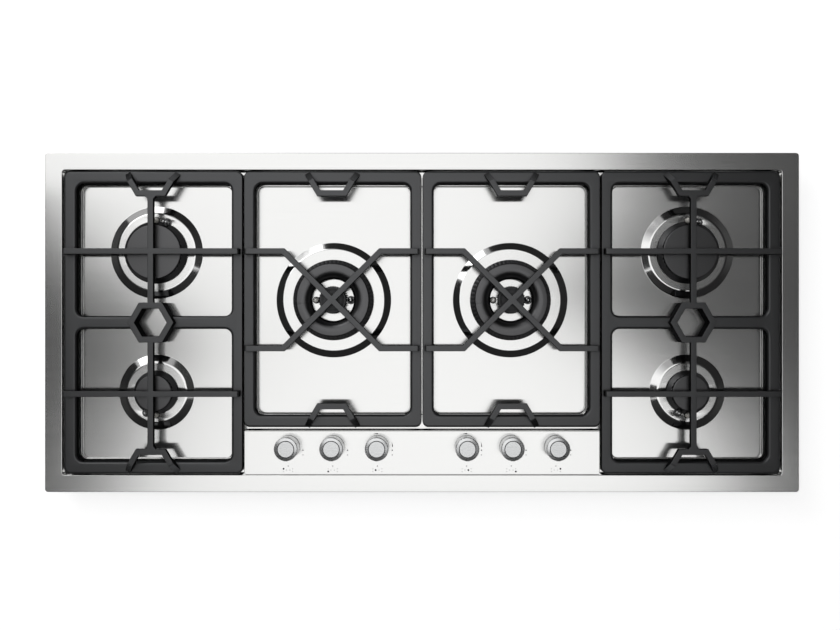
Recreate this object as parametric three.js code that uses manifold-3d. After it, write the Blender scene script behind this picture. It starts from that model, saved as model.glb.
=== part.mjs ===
// A built-in six-burner gas cooktop: pressed steel pan, cast-iron pan supports, four disc burners,
// two dual-ring wok burners, and a front control panel with push-and-turn knobs.
// Millimetres. X runs along the cooktop, Y towards the back, Z up; z = 0 is the underside of the
// casing, and x = y = 0 is the middle of the trim.
import * as THREE from "three";
import { mergeVertices } from "three/addons/utils/BufferGeometryUtils.js";
import Module from "manifold-3d";

// Sides of round forms, few because hundreds of them share the model
const cornerSteps = 3; // of a quarter-round corner
const coarseSteps = 2; // of a small corner
const holeSides = 6;
const smallSides = 6;
const castingSides = 8;
const knobSides = 14;
const nutSides = 6;

// Clearances
const seatGap = 0.3; // between pieces that touch
const cutOver = 1; // how far a cutting tool runs past the face it cuts
const weld = 0.6; // how far joined forms reach into each other

// Pan, from the top down
const trimWidth = 1200;
const trimDepth = 540;
const trimHeight = 60; // trim top above the casing's underside
const trimCorner = 5;
const trimBorder = 27.5; // flat rim round the recess
const trimLip = 4; // turned-down edge that stands on the worktop
const trimEdge = 0.8; // rounding of the rim's top edge
const sheet = 1.2; // pressed steel
const recessCorner = 4.5;
const ledgeDrop = 19; // shelf that carries the pan supports, below the trim top
const floorDrop = 22;
const stepInset = 2.5; // floor's edge inside the pan supports' windows
const frontStepInset = -1.7; // same in the middle at the front, where the edge lies under the rail
const stepCorner = 9;
const platformRise = 4.5; // burner platforms above the floor

// Control panel
const panelThick = 2;
const panelCorner = 2.2;
const panelEdge = 0.8;
const panelGap = 0.5; // between the panel's edge and the pan's
const panelToGrate = 6; // from the pan support to the panel's shelf
const knobToPanelEnd = 69.5; // last knob's middle from the panel's end

// Casing, seal and services
const casingSheet = 1;
const casingCorner = 2;
const sealWidth = 12;
const ventLength = 90;
const ventWidth = 4;
const ventPitch = 14;
const ventsPerGroup = 5;
const ventGroupX = 300;
const glandRadius = 9;
const glandLength = 14;
const glandBore = 4;
const glandToEnd = 52.5; // from the recess's end wall
const glandHeight = 24;

// Pan supports
const grateMargin = 4.5; // to the recess's end walls
const grateMarginY = 2.5; // to the recess's front and back walls
const grateGap = 2.3; // between neighbours
const sideGrateWidth = 283.2;
const centreGrateFront = -166.2; // their front edge, behind the control panel
const railTop = 6; // above the trim top, as all heights of the pan supports
const railDepth = 13;
const railFlat = 12.5;
const railInnerFillet = 4;
const railWallFillet = 3; // outer edge towards a recess wall
const railNeighbourFillet = 1; // outer edge towards another pan support
const railOuterCorner = 9;
const windowCorner = 11.5;
const barTop = 26;
const barDepth = 12;
const barWidth = 9;
const barInset = 3; // bar end inside the rail's outer edge
const barEndSlope = 3.2;
const barLeg = 14;
const barHaunch = 6;
const hexagonAcross = 63; // over the flats
const hexagonBand = 9.3;
const handleCrest = 36.75; // crest's middle line inside the outer edge
const handleCrestHalf = 20.5;
const handleFootHalf = 40;
const handleFoot = 3.5; // foot's end inside the outer edge
const handleSlope = 12.3; // run of the leg's sloped end
const panelHandleShift = 2.2; // handle nearer its edge beside the control panel
const handleFillet = 4.5; // where the long bar meets the crest
const handleFootRise = 0.5; // foot's thin end above the rail
const footRadius = 5;
const footTopRadius = 6.5;
const footSetback = 17; // a side pan support's corner foot inside the outer edge, along the rail
const centreFootSetback = 10;

// Burners
const sideBurnerY = 112.2; // front and rear burners from the middle
const wokBurnerY = 35.8; // behind the middle
const throatRise = 2; // base's throat above the platform
const throatWall = 2.5;
const baseFlangeThick = 3;
const baseDepth = 26;
const baseFloor = 4;
const bossRadius = 7;
const bossLength = 9;
const capTop = 6; // cap tops above the trim top
const capThick = 5.7;
const capRib = 2; // locating rib under a cap
const capRibWall = 2.5;
const capRim = 2.5; // rounded edge outside the cap's flat top
const capOverhang = 1; // past the spreader's wall
const flangeRise = 4; // widest edge of the flame spreader above the platform
const flangeThick = 2;
const shoulderRise = 4;
const spreaderWall = 5;
const spreaderFloor = 4;
const portWidth = 2.2;
// Each kind: diameters of the flame spreader, the cap's flat top and the pan's sloping ring, radius of
// the throat, and the angles from +X of the electrode and the thermocouple
const rapid = {
  across: 100,
  capFlat: 83,
  ringOuter: 147,
  ringInner: 121,
  throat: 19,
  probes: [90, 70],
  ports: 12,
  sides: 18,
};
const semi = {
  across: 70,
  capFlat: 54,
  ringOuter: 120,
  ringInner: 92.8,
  throat: 13,
  probes: [270, 244],
  ports: 8,
  sides: 14,
};
const wok = {
  across: 129,
  capFlat: 112,
  ringOuter: 183,
  ringInner: 160,
  throat: 15,
  probes: [180, 0],
  ports: 12,
  sides: 20,
};
const wokHole = 67; // opening in the ring cap
const wokInnerAcross = 44.6;
const wokInnerCapDrop = 2; // inner cap below the ring cap
const wokInnerPorts = 6;
const wokInnerSides = 12;
const wokRingCapLip = 6; // thickness at the ring cap's inner edge
const wokRingCapFall = 9; // how far the ring cap slopes down inwards
const spokeWidth = 10;
const spokeHeight = 5;
const discFlange = 9.5; // flange of the base outside its throat, disc burners
const wokFlange = 5.5; // and wok burners

// Ignition electrode and thermocouple beside each burner
const probeGap = 0.7; // round each in the pan's hole
const probeStandoff = 1.5; // axis outside the flame spreader's edge
const wokProbeRadius = 27.8;
const ceramicRadius = 4.2;
const ceramicRise = 9;
const probeDepth = 15;
const pinRadius = 1.3;
const pinRise = 15;
const collarRadius = 4;
const collarRise = 5;
const sheathRadius = 2.2;
const sheathRise = 14;

// Knobs, spindles, taps
const knobY = -198;
const knobsPerSide = 3;
const knobRadius = 18.5;
const knobTop = 36;
const knobShoulder = 4;
const knobShoulderRise = 2.5;
const knobWall = 2.5;
const knobCeiling = 5;
const knobBoss = 8;
const knobBossLift = 3; // boss above the skirt's edge
const knobNotchWidth = 5;
const knobNotchDepth = 2.5;
const pushTravel = 3;
const spindleRadius = 4;
const spindleFlat = 1; // depth of the D-flat
const spindleHole = 6;
const knobBoreTop = 29;
const tapFlangeRadius = 15;
const tapFlangeThick = 4;
const tapNeckRadius = 9;
const tapBodyRadius = 12;
const tapBodyTop = 40;
const tapBottom = 12;
const tapBore = 10; // how deep the spindle sits
const tapOutlet = 20; // outlet's end behind the tap's axis
const outletRadius = 6;
const saddleWidth = 20;
const saddleHeight = 14;
const pipeRadius = 4;
const pipeHeight = 22; // axis of the feed pipes
const pipeBend = 14;
const rapidLane = 40; // feed to a rapid burner turns this far behind its tap
const rapidReturn = 28; // and comes back in from this far outside the burner's inlet
const wokLane = 60; // feed to a wok burner slants off this far behind its tap
const wokSlant = 71; // depth of the slanting run
const railPipeRadius = 9;
const railPipeHeight = 24;
const railPipeY = -228;
const railPipeOverhang = 24; // past the last tap
const railPipeBend = 24;
const inletToEnd = 32.5; // from the recess's end wall
const inletFace = 262;
const inletNutRadius = 13;
const inletNutLength = 14;
const inletBoreRadius = 5;
const inletBoreDepth = 10;

// Spark generator
const sparkWidth = 78;
const sparkDepth = 44;
const sparkHeight = 24;
const sparkY = 188;
const terminalWidth = 6;
const terminalLength = 7;
const terminalPitch = 12;

// Levels and places worked out from the sizes above
const recessX = trimWidth / 2 - trimBorder;
const recessY = trimDepth / 2 - trimBorder;
const ledgeZ = trimHeight - ledgeDrop;
const floorZ = trimHeight - floorDrop;
const platformZ = floorZ + platformRise;
const shelfZ = trimHeight - panelThick - seatGap; // pan's shelf under the control panel
const sideGrateOuter = recessX - grateMargin;
const sideGrateInner = sideGrateOuter - sideGrateWidth;
const centreGrateOuter = sideGrateInner - grateGap;
const centreGrateWidth = centreGrateOuter - grateGap / 2;
const sideX = sideGrateOuter - sideGrateWidth / 2;
const centreX = grateGap / 2 + centreGrateWidth / 2;
const grateBack = recessY - grateMarginY;
const panelX = centreGrateOuter; // the panel ends in line with the middle pan supports
const shelfX = panelX + panelGap;
const shelfBack = centreGrateFront - panelToGrate;
const panelFront = -recessY + panelGap;
const panelBack = shelfBack - panelGap;
const knobPitch = (panelX - knobToPanelEnd) / knobsPerSide;
const glandX = -recessX + glandToEnd;
const inletX = recessX - inletToEnd;
const wallRail = railWallFillet + railFlat + railInnerFillet;
const neighbourRail = railNeighbourFillet + railFlat + railInnerFillet;
const crossRail = railFlat + 2 * railInnerFillet;
const barUnder = barTop - barDepth;

const wasm = await Module();
wasm.setup();

// A closed triangle mesh as a solid that can be joined and cut.
function solidOf(geometry) {
  const bare = geometry.clone();
  bare.deleteAttribute("normal");
  bare.deleteAttribute("uv");
  const merged = mergeVertices(bare, 1e-4);
  const corners = Array.from(merged.index.array);
  const triVerts = [];
  for (let i = 0; i < corners.length; i += 3) {
    const [a, b, c] = corners.slice(i, i + 3);
    if (a !== b && b !== c && c !== a) triVerts.push(a, b, c);
  }
  const vertProperties = new Float32Array(merged.attributes.position.array);
  const mesh = new wasm.Mesh({ numProp: 3, vertProperties, triVerts: new Uint32Array(triVerts) });
  return new wasm.Manifold(mesh);
}

function geometryOf(solid) {
  const mesh = solid.getMesh();
  const geometry = new THREE.BufferGeometry();
  geometry.setAttribute("position", new THREE.BufferAttribute(mesh.vertProperties, 3));
  geometry.setIndex(new THREE.BufferAttribute(mesh.triVerts, 1));
  return geometry;
}

function join(...forms) {
  return geometryOf(forms.map(solidOf).reduce((whole, form) => whole.add(form)));
}

function cut(body, ...tools) {
  return geometryOf(tools.map(solidOf).reduce((whole, tool) => whole.subtract(tool), solidOf(body)));
}

function overlapOf(first, second) {
  return geometryOf(solidOf(first).intersect(solidOf(second)));
}

// A rectangle with round corners as a loop of points, the same number for every size.
function roundedLoop({ left, right, front, back }, radius, steps = cornerSteps) {
  const middles = [
    [right - radius, back - radius],
    [left + radius, back - radius],
    [left + radius, front + radius],
    [right - radius, front + radius],
  ];
  return middles.flatMap(([x, y], quarter) =>
    Array.from({ length: steps + 1 }, (_, step) => {
      const angle = (quarter + step / steps) * (Math.PI / 2);
      return new THREE.Vector2(x + radius * Math.cos(angle), y + radius * Math.sin(angle));
    }),
  );
}

function centredBox(width, depth) {
  return { left: -width / 2, right: width / 2, front: -depth / 2, back: depth / 2 };
}

// The same rectangle with every side moved outwards by one distance.
function grown({ left, right, front, back }, by) {
  return { left: left - by, right: right + by, front: front - by, back: back + by };
}

// A closed form that runs through a stack of loops, each at its own height.
function stacked(levels) {
  const count = levels[0].loop.length;
  const positions = levels.flatMap(({ loop, z }) => loop.flatMap((point) => [point.x, point.y, z]));
  const faces = [];
  for (let level = 0; level + 1 < levels.length; level += 1) {
    for (let i = 0; i < count; i += 1) {
      const a = level * count + i;
      const b = level * count + ((i + 1) % count);
      faces.push(a, b, b + count, a, b + count, a + count);
    }
  }
  const top = (levels.length - 1) * count;
  THREE.ShapeUtils.triangulateShape(levels[0].loop, []).forEach(([a, b, c]) => {
    faces.push(a, c, b, top + a, top + b, top + c);
  });
  const geometry = new THREE.BufferGeometry();
  geometry.setAttribute("position", new THREE.Float32BufferAttribute(positions, 3));
  geometry.setIndex(faces);
  return geometry;
}

function roundedBlock(box, radius, low, high, edge = 0) {
  const levels = [{ loop: roundedLoop(box, radius, coarseSteps), z: low }];
  if (edge > 0) levels.push({ loop: levels[0].loop, z: high - edge });
  levels.push({ loop: roundedLoop(grown(box, -edge), radius - edge, coarseSteps), z: high });
  return stacked(levels);
}

function block({ left, right, front, back }, low, high) {
  const box = new THREE.BoxGeometry(right - left, back - front, high - low);
  return box.translate((left + right) / 2, (front + back) / 2, (low + high) / 2);
}

// A profile of [radius, height] pairs turned about the Z axis.
function turned(profile, steps) {
  const points = profile.map(([radius, height]) => new THREE.Vector2(radius, height));
  return new THREE.LatheGeometry(points, steps).rotateX(Math.PI / 2);
}

function cylinder(radius, low, high, steps) {
  return turned([[0, low], [radius, low], [radius, high], [0, high]], steps);
}

function cone(lowRadius, highRadius, low, high, steps) {
  return turned([[0, low], [lowRadius, low], [highRadius, high], [0, high]], steps);
}

// A flat outline of [x, y] pairs with thickness from low to high.
function plate(outline, low, high, holes = []) {
  const shape = new THREE.Shape(outline.map(([x, y]) => new THREE.Vector2(x, y)));
  shape.holes = holes.map((hole) => new THREE.Path(hole.map(([x, y]) => new THREE.Vector2(x, y))));
  return new THREE.ExtrudeGeometry(shape, { depth: high - low, bevelEnabled: false }).translate(0, 0, low);
}

// A side view of [along X, height] pairs, with thickness across Y.
function sideView(outline, thickness) {
  return plate(outline, -thickness / 2, thickness / 2).rotateX(Math.PI / 2);
}

// Corner radius of a many-sided hole whose flats stay clear of a round of the given radius
function holeRound(radius, sides) {
  return radius / Math.cos(Math.PI / sides);
}

function polar(radius, angle) {
  return [radius * Math.cos(angle), radius * Math.sin(angle)];
}

function degrees(angle) {
  return (angle * Math.PI) / 180;
}

// A round bar along a route of straight runs, with each corner eased into a bend of a few steps.
function pipe(corners, radius, bend, sides) {
  const bendSteps = 2;
  const points = corners.map((corner) => new THREE.Vector3(...corner));
  const route = [points[0]];
  for (let i = 1; i + 1 < points.length; i += 1) {
    const into = points[i].clone().add(points[i - 1].clone().sub(points[i]).setLength(bend));
    const out = points[i].clone().add(points[i + 1].clone().sub(points[i]).setLength(bend));
    route.push(...new THREE.QuadraticBezierCurve3(into, points[i], out).getPoints(bendSteps));
  }
  route.push(points.at(-1));
  const up = new THREE.Vector3(0, 0, 1);
  const positions = route.flatMap((point, i) => {
    const before = route[Math.max(i - 1, 0)];
    const after = route[Math.min(i + 1, route.length - 1)];
    const across = new THREE.Vector3().crossVectors(after.clone().sub(before).normalize(), up);
    return Array.from({ length: sides }, (_, side) => {
      const [a, b] = polar(radius, ((side + 0.5) * 2 * Math.PI) / sides);
      return point.clone().addScaledVector(across, a).addScaledVector(up, b).toArray();
    }).flat();
  });
  const faces = [];
  for (let ring = 0; ring + 1 < route.length; ring += 1) {
    for (let side = 0; side < sides; side += 1) {
      const a = ring * sides + side;
      const b = ring * sides + ((side + 1) % sides);
      faces.push(a, b + sides, b, a, a + sides, b + sides);
    }
  }
  const last = (route.length - 1) * sides;
  for (let side = 1; side + 1 < sides; side += 1) {
    faces.push(0, side, side + 1, last, last + side + 1, last + side);
  }
  const geometry = new THREE.BufferGeometry();
  geometry.setAttribute("position", new THREE.Float32BufferAttribute(positions, 3));
  geometry.setIndex(faces);
  return geometry;
}

// The places that the burners, knobs and pan supports share
const burners = [
  { name: "rapid_left", kind: "rapid", sizes: rapid, side: -1, x: -sideX, y: sideBurnerY },
  { name: "semi_left", kind: "semi", sizes: semi, side: -1, x: -sideX, y: -sideBurnerY },
  { name: "wok_left", kind: "wok", sizes: wok, side: -1, x: -centreX, y: wokBurnerY },
  { name: "wok_right", kind: "wok", sizes: wok, side: 1, x: centreX, y: wokBurnerY },
  { name: "semi_right", kind: "semi", sizes: semi, side: 1, x: sideX, y: -sideBurnerY },
  { name: "rapid_right", kind: "rapid", sizes: rapid, side: 1, x: sideX, y: sideBurnerY },
];
const knobs = burners.map((burner, index) => {
  const outwards = Math.abs(index - (burners.length - 1) / 2) + 0.5;
  return { number: index + 1, burner, x: burner.side * outwards * knobPitch, y: knobY };
});

// Where a burner's electrode and thermocouple stand, from its middle
function probesOf({ kind, sizes }) {
  const radius = kind === "wok" ? wokProbeRadius : sizes.across / 2 + probeStandoff;
  const [electrode, thermocouple] = sizes.probes.map((angle) => polar(radius, degrees(angle)));
  return { electrode, thermocouple };
}

// Pressed steel pan: rim, recess in a U round the control panel's shelf, sunken floors, platforms
const sideFloor = {
  left: sideGrateInner + neighbourRail + stepInset,
  right: sideGrateOuter - wallRail - stepInset,
  front: -grateBack + wallRail + stepInset,
  back: grateBack - wallRail - stepInset,
};
const floors = [
  sideFloor,
  { ...sideFloor, left: -sideFloor.right, right: -sideFloor.left },
  {
    left: -centreGrateOuter + neighbourRail + stepInset,
    right: centreGrateOuter - neighbourRail - stepInset,
    front: centreGrateFront + wallRail + frontStepInset,
    back: sideFloor.back,
  },
];

function recessForm(wall, low, high) {
  const box = grown(centredBox(2 * recessX, 2 * recessY), wall);
  const shelf = {
    left: -shelfX + wall,
    right: shelfX - wall,
    front: box.front - cutOver,
    back: shelfBack - wall,
  };
  return cut(roundedBlock(box, recessCorner + wall, low, high), block(shelf, low - cutOver, high + cutOver));
}

function hobPan() {
  const rim = centredBox(trimWidth, trimDepth);
  const underRim = roundedBlock(grown(rim, -sheet), trimCorner - sheet, 0, trimHeight - sheet);
  const shelf = { left: -shelfX, right: shelfX, front: -recessY, back: shelfBack };
  const wells = floors.map((floor) => {
    return roundedBlock(grown(floor, sheet), stepCorner + sheet, floorZ - sheet, ledgeZ - weld);
  });
  let pan = join(
    cut(roundedBlock(rim, trimCorner, trimHeight - trimLip, trimHeight, trimEdge), underRim),
    recessForm(sheet, ledgeZ - sheet, trimHeight - weld),
    ...wells,
  );
  pan = cut(
    pan,
    recessForm(0, ledgeZ, trimHeight + cutOver),
    block(shelf, ledgeZ - cutOver, trimHeight + cutOver),
    ...floors.map((floor) => roundedBlock(floor, stepCorner, floorZ, ledgeZ + cutOver)),
  );
  const shelfPlate = join(
    block({ ...shelf, front: -recessY - sheet }, shelfZ - sheet, shelfZ),
    block({ ...shelf, front: -recessY - sheet, back: -recessY }, shelfZ - sheet, trimHeight - weld),
    block({ ...shelf, right: -shelfX + sheet }, ledgeZ - sheet, shelfZ),
    block({ ...shelf, left: shelfX - sheet }, ledgeZ - sheet, shelfZ),
    block({ ...shelf, front: shelfBack - sheet }, ledgeZ - sheet, shelfZ),
  );
  const platforms = burners.map(({ sizes, x, y }) =>
    cone(sizes.ringOuter / 2, sizes.ringInner / 2, floorZ - weld, platformZ, sizes.sides).translate(x, y, 0),
  );
  const hollows = burners.map(({ sizes, x, y }) => {
    const low = floorZ - sheet - cutOver;
    const [wide, narrow] = [sizes.ringOuter / 2 - sheet, sizes.ringInner / 2 - sheet];
    return cone(wide, narrow, low, platformZ - sheet, sizes.sides).translate(x, y, 0);
  });
  const burnerHoles = burners.flatMap((burner) => {
    const { electrode, thermocouple } = probesOf(burner);
    const holes = [
      [burner.sizes.throat + seatGap, castingSides, 0, 0],
      [ceramicRadius + probeGap, holeSides, ...electrode],
      [collarRadius + probeGap, holeSides, ...thermocouple],
    ];
    return holes.map(([radius, sides, x, y]) =>
      cylinder(radius, floorZ - cutOver, platformZ + cutOver, sides).translate(burner.x + x, burner.y + y, 0),
    );
  });
  const knobHoles = knobs.map(({ x, y }) =>
    cylinder(spindleHole, shelfZ - sheet - cutOver, shelfZ + cutOver, holeSides).translate(x, y, 0),
  );
  return cut(join(pan, shelfPlate, ...platforms), ...hollows, ...burnerHoles, ...knobHoles);
}

function controlPanel() {
  const box = { left: -panelX, right: panelX, front: panelFront, back: panelBack };
  const low = trimHeight - panelThick;
  const face = roundedBlock(box, panelCorner, low, trimHeight, panelEdge);
  const holes = knobs.map(({ x, y }) =>
    cylinder(spindleHole, low - cutOver, trimHeight + cutOver, holeSides).translate(x, y, 0),
  );
  return cut(face, ...holes);
}

// Open tray below the pan, with vents, the gas pipe's hole and a cable gland in its back wall
const casingBox = grown(centredBox(2 * recessX, 2 * recessY), sheet + seatGap + casingSheet);

function lowerCasing() {
  const wallTop = trimHeight - sheet - seatGap;
  const inside = roundedBlock(
    grown(casingBox, -casingSheet), casingCorner - casingSheet, casingSheet, wallTop + cutOver,
  );
  const gland = cylinder(glandRadius, -glandLength, weld, holeSides).rotateX(Math.PI / 2);
  const glandHole = cylinder(glandBore, -glandLength - cutOver, cutOver + casingSheet, smallSides);
  const inletRound = holeRound(railPipeRadius + seatGap, holeSides);
  const inletHole = cylinder(inletRound, -cutOver, casingSheet + cutOver, holeSides);
  const vents = [-1, 1].flatMap((side) =>
    Array.from({ length: ventsPerGroup }, (_, i) => {
      const y = (i - (ventsPerGroup - 1) / 2) * ventPitch;
      const slot = block(centredBox(ventLength, ventWidth), -cutOver, casingSheet + cutOver);
      return slot.translate(side * ventGroupX, y, 0);
    }),
  );
  const tray = join(
    cut(roundedBlock(casingBox, casingCorner, 0, wallTop), inside),
    gland.translate(glandX, casingBox.back, glandHeight),
  );
  return cut(
    tray,
    glandHole.rotateX(Math.PI / 2).translate(glandX, casingBox.back, glandHeight),
    inletHole.rotateX(Math.PI / 2).translate(inletX, casingBox.back, railPipeHeight),
    ...vents,
  );
}

function worktopSeal() {
  const box = grown(centredBox(trimWidth, trimDepth), -sheet - seatGap);
  const low = trimHeight - trimLip;
  const high = trimHeight - sheet - seatGap;
  const radius = trimCorner - sheet;
  return cut(
    roundedBlock(box, radius, low, high),
    roundedBlock(grown(box, -sealWidth), radius, low - cutOver, high + cutOver),
  );
}

// Pan supports. Each is cast in one piece: rails round its windows, bars above them, feet below.
// The rails' top edges are rounded, outside by an amount for each side and inside by one for all.
function railFrame(box, fillets, windows) {
  const quarter = [0, 45, 90].map(degrees);
  const low = railTop - railDepth;
  const outside = quarter.map((angle) => {
    const inset = 1 - Math.cos(angle);
    const loop = roundedLoop(
      {
        left: box.left + fillets.left * inset,
        right: box.right - fillets.right * inset,
        front: box.front + fillets.front * inset,
        back: box.back - fillets.back * inset,
      },
      railOuterCorner,
    );
    return { loop, z: railTop - railWallFillet * (1 - Math.sin(angle)) };
  });
  const body = stacked([{ loop: outside[0].loop, z: low }, ...outside]);
  const openings = windows.map((window) => {
    const flare = quarter.map((angle) => {
      const out = railInnerFillet * (1 - Math.cos(angle));
      const loop = roundedLoop(grown(window, out), windowCorner + out);
      return { loop, z: railTop - railInnerFillet * (1 - Math.sin(angle)) };
    });
    const last = { loop: flare.at(-1).loop, z: railTop + cutOver };
    return stacked([{ loop: flare[0].loop, z: low - cutOver }, ...flare, last]);
  });
  return cut(body, ...openings);
}

// A bar that stands on two rails: legs with haunches at both ends and a level underside between.
function bridgeBar(length) {
  const half = length / 2;
  const rightHalf = [
    [half - barLeg - barHaunch, barUnder],
    [half - barLeg, railTop - weld],
    [half, railTop - weld],
    [half, barTop - barEndSlope],
    [half - barEndSlope, barTop],
  ];
  const leftHalf = rightHalf.map(([along, height]) => [-along, height]).reverse();
  return sideView([...rightHalf, ...leftHalf], barWidth);
}

// Lifting handle at a grate's front or back edge, drawn for an edge at y = 0 with the grate at y > 0.
function handle(railWidth) {
  const slant = Math.atan2(handleCrest - handleFoot, handleFootHalf - handleCrestHalf);
  const legHalf = barWidth / 2 / Math.sin(slant);
  const crestIn = handleCrest - barWidth / 2;
  const crestOut = handleCrest + barWidth / 2;
  const middleAt = (y) => handleFootHalf - (y - handleFoot) / Math.tan(slant);
  const rightHalf = [
    [middleAt(crestIn) - legHalf, crestIn],
    [middleAt(handleFoot) - legHalf, handleFoot],
    [middleAt(handleFoot) + legHalf, handleFoot],
    [middleAt(crestOut) + legHalf, crestOut],
  ];
  const leftHalf = rightHalf.map(([x, y]) => [-x, y]).reverse();
  const outline = plate([...rightHalf, ...leftHalf], railTop - weld, barTop);
  const side = [
    [handleFoot - cutOver, railTop - weld],
    [railWidth, railTop - weld],
    [railWidth + barHaunch, barUnder],
    [crestOut + cutOver, barUnder],
    [crestOut + cutOver, barTop + cutOver],
    [handleFoot + handleSlope + cutOver, barTop + cutOver],
    [handleFoot + handleSlope, barTop],
    [handleFoot, railTop + handleFootRise],
    [handleFoot - cutOver, railTop + handleFootRise],
  ];
  const reach = 2 * (handleFootHalf + barWidth);
  return overlapOf(outline, sideView(side, reach).rotateZ(Math.PI / 2));
}

// Small web that widens the long bar where it meets a handle's crest at y = 0, bar towards +y.
function crestWeb() {
  const half = barWidth / 2;
  const outline = [
    [-half - handleFillet, -weld],
    [half + handleFillet, -weld],
    [half, handleFillet],
    [-half, handleFillet],
  ];
  return plate(outline, barUnder, barTop);
}

function foot(x, y) {
  const low = -ledgeDrop + seatGap;
  const high = railTop - railDepth + weld;
  return cone(footRadius, footTopRadius, low, high, smallSides).translate(x, y, 0);
}

// Outline of a hexagon by its width over the flats, with two corners on the X axis.
function hexagonLoop(across) {
  const radius = across / 2 / Math.cos(degrees(30));
  return Array.from({ length: 6 }, (_, i) => polar(radius, degrees(60 * i)));
}

// Pan support over a rapid and a semi-rapid burner; side is -1 at the left and 1 at the right.
function sideGrate(side) {
  const box = centredBox(sideGrateWidth, 2 * grateBack);
  const [leftFillet, rightFillet] = side < 0
    ? [railWallFillet, railNeighbourFillet]
    : [railNeighbourFillet, railWallFillet];
  const fillets = { left: leftFillet, right: rightFillet, front: railWallFillet, back: railWallFillet };
  const leftRail = leftFillet + railFlat + railInnerFillet;
  const rightRail = rightFillet + railFlat + railInnerFillet;
  const window = { left: box.left + leftRail, right: box.right - rightRail };
  const frontWindow = { ...window, front: box.front + wallRail, back: -crossRail / 2 };
  const backWindow = { ...window, front: crossRail / 2, back: box.back - wallRail };
  const crossBars = [-1, 1].map((row) =>
    bridgeBar(sideGrateWidth - 2 * barInset).translate(0, row * sideBurnerY, 0),
  );
  const longStart = hexagonAcross / 2 - hexagonBand / 2;
  const longEnd = grateBack - handleCrest;
  const longBar = block(
    { left: -barWidth / 2, right: barWidth / 2, front: longStart, back: longEnd },
    barUnder,
    barTop,
  );
  const web = crestWeb().translate(0, -grateBack + handleCrest + barWidth / 2, 0);
  const lift = handle(wallRail).translate(0, -grateBack, 0);
  const halves = [0, 180].flatMap((angle) =>
    [longBar, web, lift].map((form) => form.clone().rotateZ(degrees(form === longBar ? angle + 180 : angle))),
  );
  const footX = [box.left + leftFillet + railFlat / 2, box.right - rightFillet - railFlat / 2];
  const footY = [-grateBack + footSetback, 0, grateBack - footSetback];
  const feet = footX.flatMap((x) => footY.map((y) => foot(x, y)));
  const rails = railFrame(box, fillets, [frontWindow, backWindow]);
  // the hexagon ring is as deep as rails and bars together, and open all through
  const low = railTop - railDepth;
  const opening = plate(hexagonLoop(hexagonAcross - 2 * hexagonBand), low - cutOver, barTop + cutOver);
  const hexagon = plate(hexagonLoop(hexagonAcross), low, barTop);
  return cut(join(rails, hexagon, ...crossBars, ...halves, ...feet), opening);
}

// Pan support over a wok burner: two bars that bend at 45 degrees and cross above the burner.
function centreGrate(side) {
  const box = {
    left: -centreGrateWidth / 2,
    right: centreGrateWidth / 2,
    front: centreGrateFront - wokBurnerY,
    back: grateBack - wokBurnerY,
  };
  const fillets = {
    left: railNeighbourFillet,
    right: railNeighbourFillet,
    front: railWallFillet,
    back: railWallFillet,
  };
  const window = {
    left: box.left + neighbourRail,
    right: box.right - neighbourRail,
    front: box.front + wallRail,
    back: box.back - wallRail,
  };
  const bendAt = sideBurnerY - wokBurnerY; // the level arms line up with the side grates' bars
  const half = barWidth / 2;
  const halfEnd = centreGrateWidth / 2 - barInset;
  const mitre = half * Math.tan(degrees(22.5));
  const diagonal = half * Math.SQRT2;
  // upper edge of one bent bar, from the left end to the middle, then the same turned half round
  const upper = [
    [-halfEnd, bendAt + half],
    [-bendAt + mitre, bendAt + half],
    [bendAt + mitre, -bendAt + half],
    [halfEnd, -bendAt + half],
  ];
  const bentBar = plate([...upper, ...upper.map(([x, y]) => [-x, -y])], railTop - weld, barTop);
  const elevation = sideView(
    [
      [halfEnd - barLeg - barHaunch, barUnder],
      [halfEnd - barLeg, railTop - weld],
      [halfEnd + cutOver, railTop - weld],
      [halfEnd + cutOver, barTop - barEndSlope - cutOver],
      [halfEnd - barEndSlope - cutOver, barTop + cutOver],
      [-halfEnd + barEndSlope + cutOver, barTop + cutOver],
      [-halfEnd - cutOver, barTop - barEndSlope - cutOver],
      [-halfEnd - cutOver, railTop - weld],
      [-halfEnd + barLeg, railTop - weld],
      [-halfEnd + barLeg + barHaunch, barUnder],
    ],
    2 * (bendAt + barWidth + diagonal),
  );
  const bars = [bentBar, bentBar.clone().rotateX(Math.PI).translate(0, 0, railTop - weld + barTop)];
  const handles = [
    handle(wallRail + panelHandleShift).translate(0, box.front - panelHandleShift, 0),
    handle(wallRail).translate(0, -box.back, 0).rotateZ(Math.PI),
  ];
  const outerX = side * (centreGrateWidth / 2 - railNeighbourFillet - railFlat / 2);
  const corners = [-1, 1].flatMap((hand) => [
    foot(hand * outerX, box.front + centreFootSetback),
    foot(hand * outerX, box.back - centreFootSetback),
  ]);
  return join(
    railFrame(box, fillets, [window]),
    ...bars.map((bar) => overlapOf(bar, elevation)),
    ...handles,
    ...corners,
    foot(outerX, 0),
  );
}

// Burners. Heights are above the platform that the burner stands on.
const capZ = trimHeight + capTop - platformZ;
const capUnder = capZ - capThick;
const spreaderUnder = throatRise + seatGap;

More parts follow.
